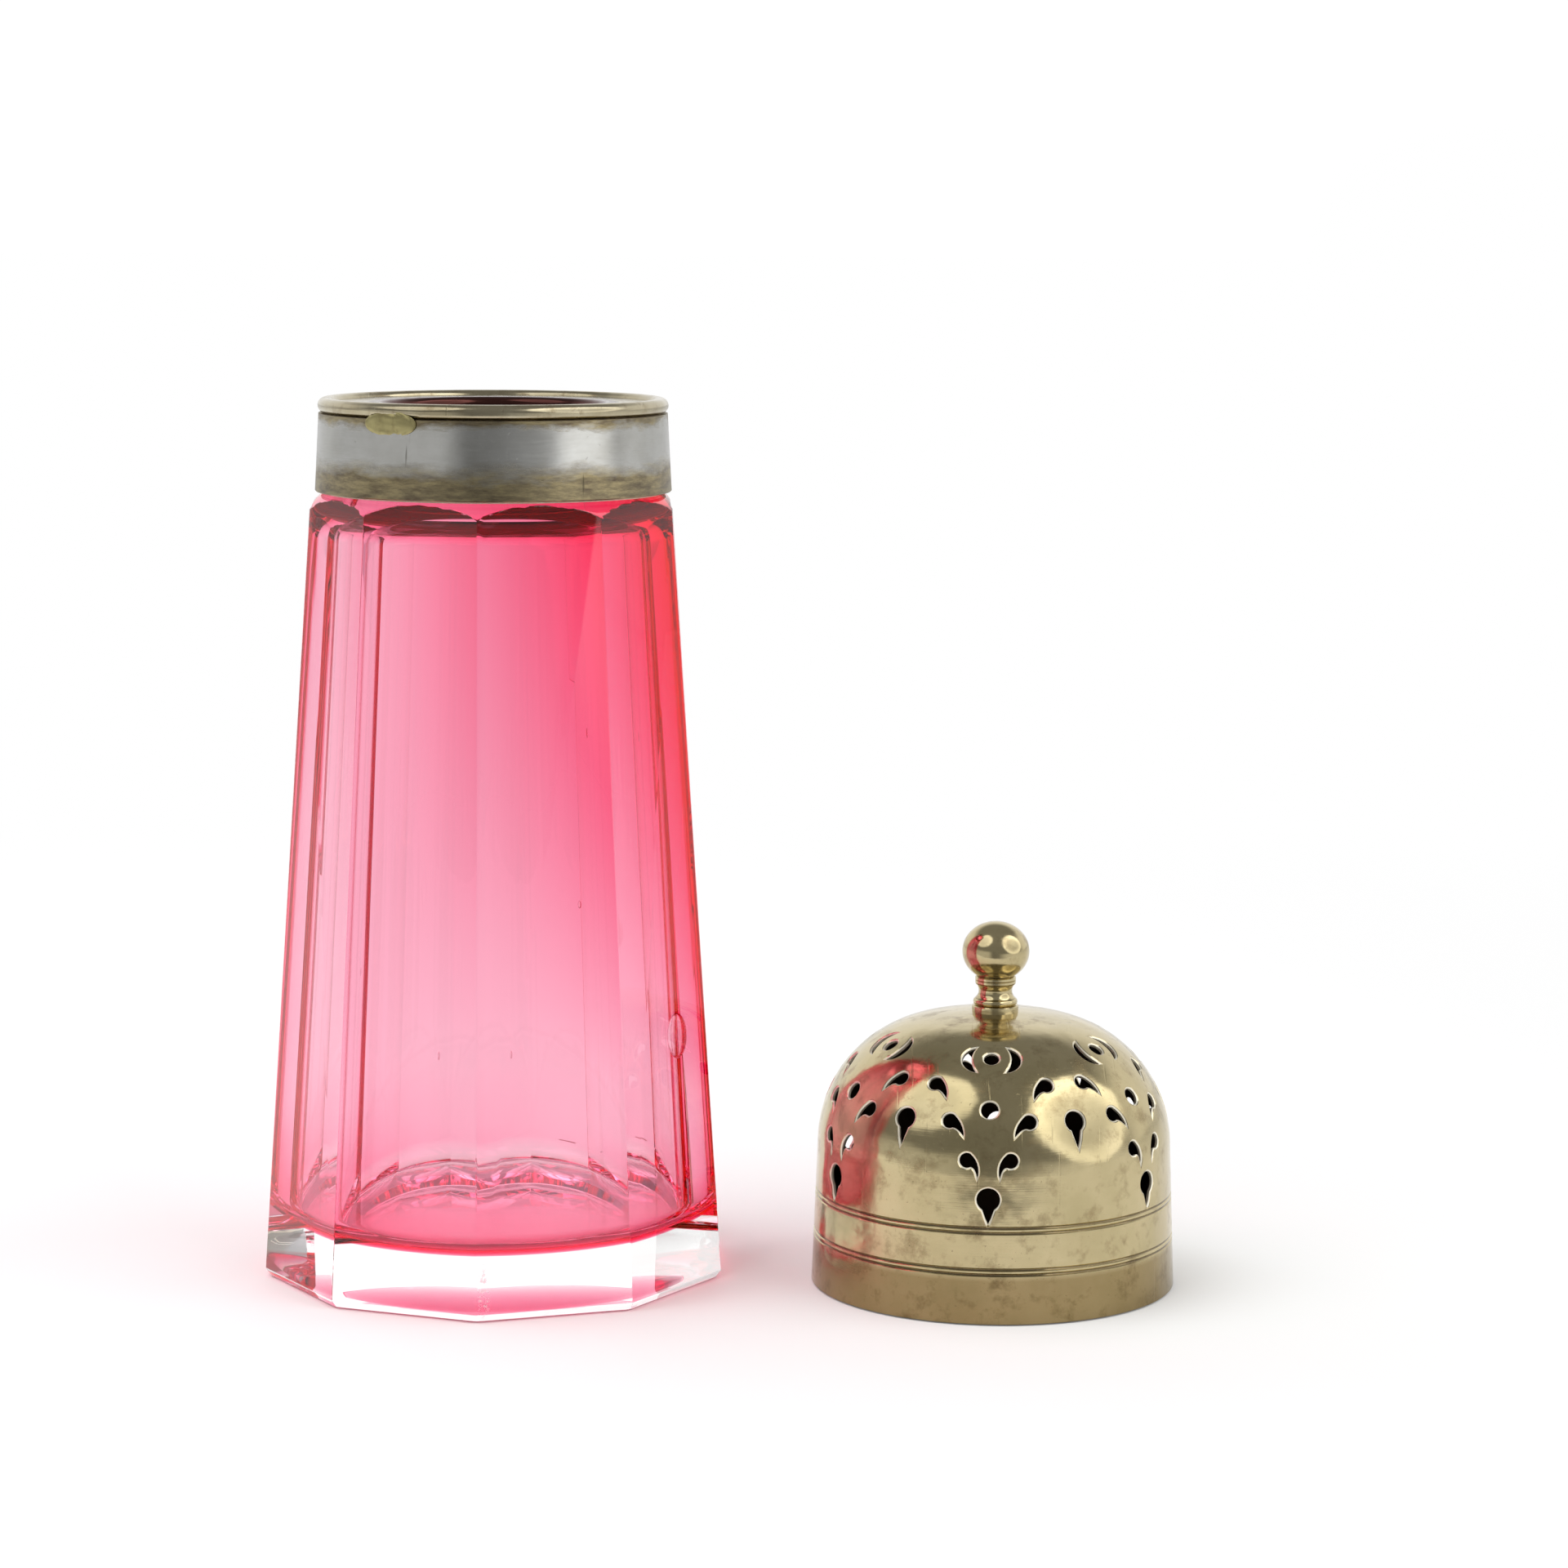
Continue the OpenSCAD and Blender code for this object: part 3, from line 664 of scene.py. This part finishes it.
def blend(tree, factor, a, b, kind="MIX"):
    """Mixes two colours or sockets by a factor."""
    made = add(tree, "ShaderNodeMix", data_type="RGBA", blend_type=kind)
    for value, socket in ((factor, "Factor"), (a, "A"), (b, "B")):
        spot = next(s for s in made.inputs if s.name == socket and s.enabled)
        if isinstance(value, bpy.types.Node):
            tree.links.new(value.outputs["Result"] if value.type == "MIX" else value.outputs[0], spot)
        elif isinstance(value, tuple):
            spot.default_value = (*value, 1.0)
        else:
            spot.default_value = value
    return made


def mixed(node):
    return next(s for s in node.outputs if s.enabled)


def maths(tree, operation, a, b):
    """A Math node on two numbers or nodes."""
    made = add(tree, "ShaderNodeMath", operation=operation)
    for value, spot in zip((a, b), made.inputs):
        if isinstance(value, bpy.types.Node):
            tree.links.new(value.outputs[0], spot)
        else:
            spot.default_value = value
    return made


def clear_glass():
    """Polished glass with faint scuffs and waves, and frosted chips along the front corner of the base."""
    material, tree, shader = new_material("clear_cut_glass")
    shader.inputs["Base Color"].default_value = (1.0, 1.0, 1.0, 1.0)
    shader.inputs["Transmission Weight"].default_value = 1.0
    shader.inputs["IOR"].default_value = 1.52
    scuffs = noise(tree, coordinates(tree), 900.0, 5.0)
    rough = ramp(tree, scuffs, ((0.45, 0.0), (0.95, 0.05)))
    beside = add(tree, "ShaderNodeVectorMath", operation="DISTANCE")
    front_corner = coordinates(tree, scale=(1.0, 1.0, 0.13), place=(-0.0005, 0.0323, -0.0005))
    wire(tree, front_corner, beside, 0)
    near = add(tree, "ShaderNodeMapRange", {"From Min": 0.0012, "From Max": 0.0005})
    wire(tree, beside, near, "Value", "Value")
    chips = ramp(tree, noise(tree, coordinates(tree), 1900.0, 3.0), ((0.52, 0.0), (0.58, 0.6)))
    frosted = maths(tree, "MAXIMUM", rough, maths(tree, "MULTIPLY", near, chips))
    tree.links.new(frosted.outputs[0], shader.inputs["Roughness"])
    waves = noise(tree, coordinates(tree, scale=(1.0, 1.0, 0.35)), 70.0, 2.0)
    bump = add(tree, "ShaderNodeBump", {"Strength": 0.25, "Distance": 0.00006})
    wire(tree, waves, bump, "Height")
    wire(tree, bump, shader, "Normal")
    return material


def ruby_glass():
    """Ruby glass as a tint alone: it lies within the clear glass and doesn't bend the light again."""
    material, tree, shader = new_material("ruby_glass_layer")
    shader.inputs["Base Color"].default_value = (1.0, 1.0, 1.0, 1.0)
    shader.inputs["Transmission Weight"].default_value = 1.0
    shader.inputs["Roughness"].default_value = 0.0
    shader.inputs["IOR"].default_value = 1.0
    ruby = {"Color": (0.99, 0.008, 0.336, 1.0), "Density": 850.0}
    tint = add(tree, "ShaderNodeVolumeAbsorption", ruby)
    wire(tree, tint, tree.nodes["Material Output"], "Volume")
    return material


def cap_dirt_and_painted_light(tree, colour):
    """Painted shade inside the cap, painted highlights on the rims of the holes, dirt in the incised lines
    and a band along the mouth darkened as painted shade.
    """
    place = tuple(-c * MM for c in CAP_PLACE)
    parts = add(tree, "ShaderNodeSeparateXYZ")
    wire(tree, coordinates(tree, place=place), parts, "Vector")
    height = maths(tree, "ADD", 0.0, 0.0)
    wire(tree, parts, height, 0, "Z")
    away = add(tree, "ShaderNodeVectorMath", operation="LENGTH")
    wire(tree, coordinates(tree, scale=(1.0, 1.0, 0.0), place=place), away, 0)
    over = maths(tree, "SUBTRACT", 0.0, DOME[0] * MM)
    wire(tree, away, over, 0, "Value")
    section = add(tree, "ShaderNodeCombineXYZ")
    wire(tree, maths(tree, "MAXIMUM", over, 0.0), section, "X")
    wire(tree, maths(tree, "MAXIMUM", maths(tree, "SUBTRACT", height, DOME[1] * MM), 0.0), section, "Y")
    reach = add(tree, "ShaderNodeVectorMath", operation="LENGTH")
    wire(tree, section, reach, 0)
    up_skirt = maths(tree, "MINIMUM", height, SKIRT_H * MM)
    taper = maths(tree, "MULTIPLY", up_skirt, (CAP_MOUTH - SKIRT_TOP) / SKIRT_H)
    depth = maths(tree, "SUBTRACT", (CAP_MOUTH - DOME[0]) * MM, taper)
    depth = maths(tree, "SUBTRACT", depth, 0.0)
    wire(tree, reach, depth, 1, "Value")

    def zone(source, start, end):
        made = add(tree, "ShaderNodeMapRange", {"From Min": start * MM, "From Max": end * MM})
        wire(tree, source, made, "Value")
        return made

    # Painted shade: the skirt is darkened below 7 mm, towards the mouth, where it mirrors the table in its
    # own shadow
    dull = blend(tree, zone(height, 7.0, 5.8), colour, (0.6, 0.54, 0.46), "MULTIPLY")
    lined = blend(tree, maths(tree, "MULTIPLY", zone(depth, 0.1, 0.17), 0.7), dull, (0.1, 0.07, 0.05))
    # Painted highlight: the chamfered rims of the holes are made pale, as if catching light from all
    # round; the same mask also makes them rougher
    rim_painted_highlight = maths(tree, "MULTIPLY", zone(depth, 0.03, 0.08), zone(height, 13.3, 13.5))
    cut = blend(tree, rim_painted_highlight, lined, (0.84, 0.79, 0.65))
    # Painted shade: the inside face of the cap is made nearly black
    return blend(tree, zone(depth, 0.42, 0.55), cut, (0.045, 0.03, 0.02)), rim_painted_highlight


def throat_painted_shade(tree, colour):
    """Painted shade: the inside of the throat is made dark red-brown."""
    away = add(tree, "ShaderNodeVectorMath", operation="LENGTH")
    wire(tree, coordinates(tree, scale=(1.0, 1.0, 0.0)), away, 0)
    bend = {"From Min": (THROAT + 2.3) * MM, "From Max": (THROAT + 1.7) * MM}
    inside = add(tree, "ShaderNodeMapRange", bend)
    wire(tree, away, inside, "Value", "Value")
    return blend(tree, inside, colour, (0.08, 0.03, 0.025)), None


def worn_metal(name, pale, deep, stain, centre, low=0.14, high=0.34, marks=None):
    """Nickel silver, warm and tarnished: cloudy colour, stains, turning marks, pits and scratches."""
    material, tree, shader = new_material(name)
    place = tuple(-c * MM for c in centre)
    here = coordinates(tree, place=place)
    clouds = ramp(tree, noise(tree, here, 95.0, 6.0, 0.6), ((0.35, 0.0), (0.68, 1.0)))
    stains = ramp(tree, noise(tree, here, 260.0, 8.0, 0.68), ((0.52, 0.0), (0.68, 1.0)))
    pits = ramp(tree, noise(tree, here, 2600.0, 3.0, 0.6), ((0.68, 0.0), (0.78, 1.0)))
    rings = noise(tree, coordinates(tree, scale=(0.02, 0.02, 1.0), place=place), 5200.0, 3.0)
    across = coordinates(tree, scale=(1.0, 0.03, 0.03), turn=(0.4, 0.7, 0.5), place=place)
    scratch = ramp(tree, noise(tree, across, 1500.0, 2.0), ((0.66, 0.0), (0.72, 1.0)))
    colour = blend(tree, clouds, deep, pale)
    marked = blend(tree, maths(tree, "MULTIPLY", stains, 0.7), colour, stain)
    spotted = blend(tree, maths(tree, "MULTIPLY", pits, 0.5), marked, tuple(c * 0.35 for c in stain))
    # The marks paint shade and highlights into the colour: on the cap its inside, hole rims and mouth
    # band, and in the collar's throat
    last, rim_painted_highlight = marks(tree, spotted) if marks else (spotted, None)
    tree.links.new(mixed(last), shader.inputs["Base Color"])
    shader.inputs["Metallic"].default_value = 1.0
    dull = maths(tree, "ADD", maths(tree, "MULTIPLY", stains, 0.6), maths(tree, "MULTIPLY", rings, 0.4))
    rough = ramp(tree, dull, ((0.1, low), (0.9, high)))
    if rim_painted_highlight:
        rough = maths(tree, "MAXIMUM", rough, maths(tree, "MULTIPLY", rim_painted_highlight, 0.5))
    tree.links.new(rough.outputs[0], shader.inputs["Roughness"])
    dents = noise(tree, here, 115.0, 2.5)
    first = add(tree, "ShaderNodeBump", {"Strength": 0.7, "Distance": 0.00026})
    second = add(tree, "ShaderNodeBump", {"Strength": 0.35, "Distance": 0.000012})
    third = add(tree, "ShaderNodeBump", {"Strength": 0.6, "Distance": 0.00002}, invert=True)
    wire(tree, dents, first, "Height")
    wire(tree, rings, second, "Height")
    wire(tree, first, second, "Normal")
    wire(tree, maths(tree, "MAXIMUM", scratch, pits), third, "Height")
    wire(tree, second, third, "Normal")
    wire(tree, third, shader, "Normal")
    return material


def tarnished_band():
    """Worn plating on the collar: brushed grey above, ragged brown tarnish below and under the bead."""
    material, tree, shader = new_material("collar_worn_plating")
    here = coordinates(tree)
    height = add(tree, "ShaderNodeSeparateXYZ")
    wire(tree, here, height, "Vector")
    ragged = noise(tree, coordinates(tree, scale=(0.55, 0.55, 1.8)), 240.0, 7.0, 0.68)
    wander = maths(tree, "MULTIPLY", maths(tree, "SUBTRACT", ragged, 0.5), 0.005)
    level = add(tree, "ShaderNodeMath", operation="ADD")
    wire(tree, height, level, 0, "Z")
    wire(tree, wander, level, 1)

    def zone(start, end):
        made = add(tree, "ShaderNodeMapRange", {"From Min": start * MM, "From Max": end * MM})
        wire(tree, level, made, "Value")
        return made

    brown = maths(tree, "MAXIMUM", zone(113.4, 110.8), zone(117.3, 118.6))
    brushed = noise(tree, coordinates(tree, scale=(0.06, 0.06, 1.0)), 2600.0, 4.0)
    clouds = noise(tree, here, 150.0, 5.0, 0.6)
    cloudy = ramp(tree, clouds, ((0.3, 0.0), (0.72, 1.0)))
    silver = blend(tree, cloudy, (0.42, 0.415, 0.385), (0.53, 0.53, 0.51))
    fine = noise(tree, coordinates(tree, scale=(0.5, 0.5, 2.2)), 520.0, 6.0, 0.7)
    browns = ((0.32, (0.09, 0.06, 0.028)), (0.5, (0.21, 0.165, 0.08)), (0.66, (0.36, 0.29, 0.14)))
    olive = ramp(tree, fine, browns)
    colour = blend(tree, maths(tree, "MULTIPLY", brown, 0.9), silver, olive)
    specks = ramp(tree, noise(tree, here, 1500.0, 3.0, 0.6), ((0.7, 0.0), (0.76, 1.0)))
    across = coordinates(tree, scale=(1.0, 1.0, 0.06), turn=(0.25, 0.15, 0.3))
    scratch = ramp(tree, noise(tree, across, 900.0, 2.0), ((0.71, 0.0), (0.75, 1.0)))
    marks = maths(tree, "MAXIMUM", specks, scratch)
    worn = blend(tree, maths(tree, "MULTIPLY", marks, 0.55), colour, (0.07, 0.06, 0.04))
    tree.links.new(mixed(worn), shader.inputs["Base Color"])
    shader.inputs["Metallic"].default_value = 1.0
    streaks = maths(tree, "MULTIPLY", brushed, 0.14)
    dull = maths(tree, "ADD", maths(tree, "MULTIPLY", brown, 0.18), streaks)
    tree.links.new(maths(tree, "ADD", dull, 0.13).outputs[0], shader.inputs["Roughness"])
    first = add(tree, "ShaderNodeBump", {"Strength": 0.35, "Distance": 0.00001})
    second = add(tree, "ShaderNodeBump", {"Strength": 0.6, "Distance": 0.00004})
    wire(tree, brushed, first, "Height")
    wire(tree, maths(tree, "SUBTRACT", maths(tree, "MULTIPLY", brown, fine), marks), second, "Height")
    wire(tree, first, second, "Normal")
    wire(tree, second, shader, "Normal")
    return material


def plaster():
    """Cream plaster where it shows below the collar, painted dark red shade where it lies against the
    glass.
    """
    material, tree, shader = new_material("cream_plaster")
    grains = noise(tree, coordinates(tree), 1400.0, 6.0, 0.65)
    tone = ramp(tree, grains, ((0.3, (0.62, 0.55, 0.42)), (0.7, (0.84, 0.79, 0.66))))
    away = add(tree, "ShaderNodeVectorMath", operation="LENGTH")
    wire(tree, coordinates(tree, scale=(1.0, 1.0, 0.0)), away, 0)
    beyond = {"From Min": (NECK + 0.5) * MM, "From Max": (NECK + 0.8) * MM}
    outside = add(tree, "ShaderNodeMapRange", beyond)
    wire(tree, away, outside, "Value", "Value")
    # Painted shade: dark red where the plaster lies against the ruby glass, cream further out
    plaster_with_painted_shade = blend(tree, outside, (0.4, 0.035, 0.035), tone)
    tree.links.new(mixed(plaster_with_painted_shade), shader.inputs["Base Color"])
    shader.inputs["Roughness"].default_value = 0.9
    bump = add(tree, "ShaderNodeBump", {"Strength": 0.6, "Distance": 0.00005})
    wire(tree, grains, bump, "Height")
    wire(tree, bump, shader, "Normal")
    return material


def dress(piece, material, body=None, replaces=()):
    """Gives a piece its material, and a new piece its body, and hides the parts it stands in for."""
    piece.data.materials.clear()
    piece.data.materials.append(material)
    if body:
        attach(piece, body)
        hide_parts(*replaces)


glass = cut_glass()
air_bubble(glass, *LARGE_BUBBLE)
for flat, along, height, half in SMALL_BUBBLES:
    air_bubble(glass, flat, along, height, SMALL_DEPTH, (half * 0.6, half, half * 2.2))
layer = ruby_layer()
band = collar_band()
rim = collar_rim()
solder = solder_run()
cap = pierced_cap()
knob = finial()

cap_metal = worn_metal(
    "cap_nickel_silver",
    pale=(0.57, 0.48, 0.28),
    deep=(0.46, 0.385, 0.21),
    stain=(0.27, 0.2, 0.1),
    centre=CAP_PLACE,
    low=0.1,
    high=0.3,
    marks=cap_dirt_and_painted_light,
)
rim_metal = worn_metal(
    "rim_worn_brass",
    pale=(0.5, 0.45, 0.32),
    deep=(0.36, 0.31, 0.2),
    stain=(0.2, 0.14, 0.07),
    centre=(0.0, 0.0, 119.0),
    marks=throat_painted_shade,
)
solder_metal = worn_metal(
    "yellow_solder",
    pale=(0.46, 0.41, 0.2),
    deep=(0.3, 0.26, 0.12),
    stain=(0.2, 0.15, 0.07),
    centre=(0.0, 0.0, 117.0),
    low=0.3,
    high=0.5,
)
dress(glass, clear_glass(), "bottle", ["glass_body"])
dress(layer, ruby_glass(), "bottle", ["ruby_lining"])
dress(band, tarnished_band(), "bottle", ["collar_band"])
dress(rim, rim_metal, "bottle", ["collar_rim"])
dress(solder, solder_metal, "bottle")
dress(cap, cap_metal, "cap", ["pierced_cap"])
dress(knob, cap_metal, "cap", ["finial"])
dress(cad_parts["neck_plaster"], plaster())
dress(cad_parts["finial_nut"], cap_metal)


# Stage, lights and camera


def floor():
    """A pale sweep that keeps the shadow near the object and goes over into white further off.

    It ends in front, below the camera's view, so that the metal mirrors the room there.
    """
    rest_selection()
    middle = (0.0, FLOOR_FRONT + FLOOR_SIZE / 2, -FLOOR_DROP * MM)
    bpy.ops.mesh.primitive_plane_add(size=FLOOR_SIZE, location=middle)
    bpy.ops.object.transform_apply(location=True, rotation=True, scale=True)
    ground = bpy.context.object
    ground.name = "pale_floor"
    material, tree, shader = new_material("pale_floor_paint")
    shader.inputs["Base Color"].default_value = (0.9, 0.9, 0.9, 1.0)
    shader.inputs["Roughness"].default_value = 0.9
    shader.inputs["Specular IOR Level"].default_value = 0.0
    glow = add(tree, "ShaderNodeEmission", {"Color": (1.0, 1.0, 1.0, 1.0), "Strength": 1.0})
    away = add(tree, "ShaderNodeVectorMath", operation="LENGTH")
    wire(tree, coordinates(tree, place=(-0.03, 0.0, 0.0)), away, 0)
    sweep = {"From Min": 0.1, "From Max": 0.45, "To Min": 0.12, "To Max": 1.0}
    far = add(tree, "ShaderNodeMapRange", sweep)
    far.interpolation_type = "SMOOTHSTEP"
    wire(tree, away, far, "Value", "Value")
    under = add(tree, "ShaderNodeVectorMath", operation="LENGTH")
    wire(tree, coordinates(tree), under, 0)
    clear = add(tree, "ShaderNodeMapRange", {"From Min": 0.028, "From Max": 0.05, "To Min": 0.3})
    clear.interpolation_type = "SMOOTHSTEP"
    wire(tree, under, clear, "Value", "Value")
    path = add(tree, "ShaderNodeLightPath")
    seen = add(tree, "ShaderNodeMath", operation="MAXIMUM")
    wire(tree, path, seen, 0, "Is Camera Ray")
    wire(tree, path, seen, 1, "Is Transmission Ray")
    share = maths(tree, "MULTIPLY", maths(tree, "MULTIPLY", seen, far), clear)
    both = add(tree, "ShaderNodeMixShader")
    wire(tree, share, both, "Fac")
    wire(tree, shader, both, 1)
    wire(tree, glow, both, 2)
    wire(tree, both, tree.nodes["Material Output"], "Surface")
    ground.data.materials.append(material)


def surroundings():
    """The studio: white sheets behind, a room in front, a dark ceiling and two round softboxes."""
    world = bpy.data.worlds.new("studio")
    bpy.context.scene.world = world
    world.use_nodes = True
    tree = world.node_tree
    tree.nodes.clear()
    source = add(tree, "ShaderNodeTexCoord")
    axes = add(tree, "ShaderNodeSeparateXYZ")
    wire(tree, source, axes, "Vector", "Generated")

    def step(node, output, low, high, start, end):
        ends = {"From Min": low, "From Max": high, "To Min": start, "To Max": end}
        made = add(tree, "ShaderNodeMapRange", ends)
        made.interpolation_type = "SMOOTHSTEP"
        wire(tree, node, made, "Value", output)
        return made

    def softbox(towards, width, middle, rim):
        """A round lamp: an even middle and a brighter rim, widths in degrees."""
        middle_way = {1: Vector(towards).normalized()}
        angle = add(tree, "ShaderNodeVectorMath", middle_way, operation="DOT_PRODUCT")
        wire(tree, source, angle, 0, "Generated")
        disc = step(angle, "Value", cos(radians(width + 4)), cos(radians(width - 1)), 0.0, 1.0)
        inside = step(angle, "Value", cos(radians(width - 4)), cos(radians(width * 0.45)), rim, middle)
        lit = maths(tree, "MULTIPLY", inside, step(axes, "Z", 0.2, 0.9, 0.75, 1.35))
        return maths(tree, "MULTIPLY", disc, lit)

    front = add(tree, "ShaderNodeMath", {1: -1.0}, operation="MULTIPLY")
    wire(tree, axes, front, 0, "Y")
    turn = add(tree, "ShaderNodeMath", operation="ARCTAN2")
    wire(tree, axes, turn, 0, "X")
    wire(tree, front, turn, 1)
    around = add(tree, "ShaderNodeMapRange", {"From Min": -pi, "From Max": pi})
    wire(tree, turn, around, "Value")
    walls = ((0.0, 0.55), (0.1, 0.5), (0.19, 0.3), (0.3, 0.36), (0.42, 0.36), (0.46, 0.12), (0.52, 0.14))
    walls += ((0.56, 0.28), (0.6, 0.42), (0.68, 0.48), (0.77, 0.55), (0.84, 0.2), (0.9, 0.3), (1.0, 0.55))
    table = maths(tree, "MULTIPLY", ramp(tree, around, walls), 2.0)

    def over(first, second, low, high, source=axes, output="Z"):
        """Goes over from one level to the other between two heights."""
        share = step(source, output, low, high, 0.0, 1.0)
        rest = maths(tree, "SUBTRACT", 1.0, share)
        parts = [maths(tree, "MULTIPLY", first, rest), maths(tree, "MULTIPLY", second, share)]
        return maths(tree, "ADD", *parts)

    sheet = step(axes, "Y", -0.1, 0.4, 0.28, 1.1)
    raised = add(tree, "ShaderNodeMath", operation="ADD")
    wire(tree, axes, raised, 0, "Z")
    wire(tree, step(axes, "X", -0.1, 0.3, 0.0, 0.15), raised, 1)
    level = over(over(table, sheet, 0.08, 0.23, raised, "Value"), 0.3, 0.45, 0.75)
    for lamp in SOFTBOXES:
        level = maths(tree, "MAXIMUM", level, softbox(*lamp))
    path = add(tree, "ShaderNodeLightPath")
    shown = maths(tree, "MAXIMUM", level, 0.0)
    tree.links.new(path.outputs["Is Camera Ray"], shown.inputs[1])
    back = add(tree, "ShaderNodeBackground", {"Color": (1.0, 1.0, 1.0, 1.0)})
    wire(tree, shown, back, "Strength")
    out = add(tree, "ShaderNodeOutputWorld")
    wire(tree, back, out, "Surface")


def top_light():
    """A broad soft lamp overhead that lights the table and isn't mirrored in the metal."""
    rest_selection()
    bpy.ops.object.light_add(type="AREA", location=TOP_LIGHT["place"])
    lamp = bpy.context.object
    lamp.name = "top_softbox"
    lamp.data.size = TOP_LIGHT["size"]
    lamp.data.energy = TOP_LIGHT["energy"]
    lamp.visible_glossy = False


def camera():
    """The camera of the photograph, fitted to its ellipses."""
    bpy.ops.object.camera_add()
    made = bpy.context.object
    made.name = "camera"
    made.data.lens = CAMERA_LENS
    made.data.sensor_width = CAMERA_SENSOR
    tilt, roll = radians(90 - CAMERA_DOWN), radians(CAMERA_ROLL)
    place = Matrix.Translation(CAMERA_PLACE * MM)
    made.matrix_world = place @ Matrix.Rotation(tilt, 4, "X") @ Matrix.Rotation(roll, 4, "Z")
    made.data.clip_start = 0.01
    bpy.context.scene.camera = made


rest_selection()
floor()
surroundings()
top_light()
camera()

bpy.context.scene.view_settings.view_transform = "Standard"
paths = bpy.context.scene.cycles
paths.max_bounces = paths.transmission_bounces = paths.transparent_max_bounces = BOUNCES
paths.glossy_bounces = MIRROR_BOUNCES
paths.blur_glossy = 0.0
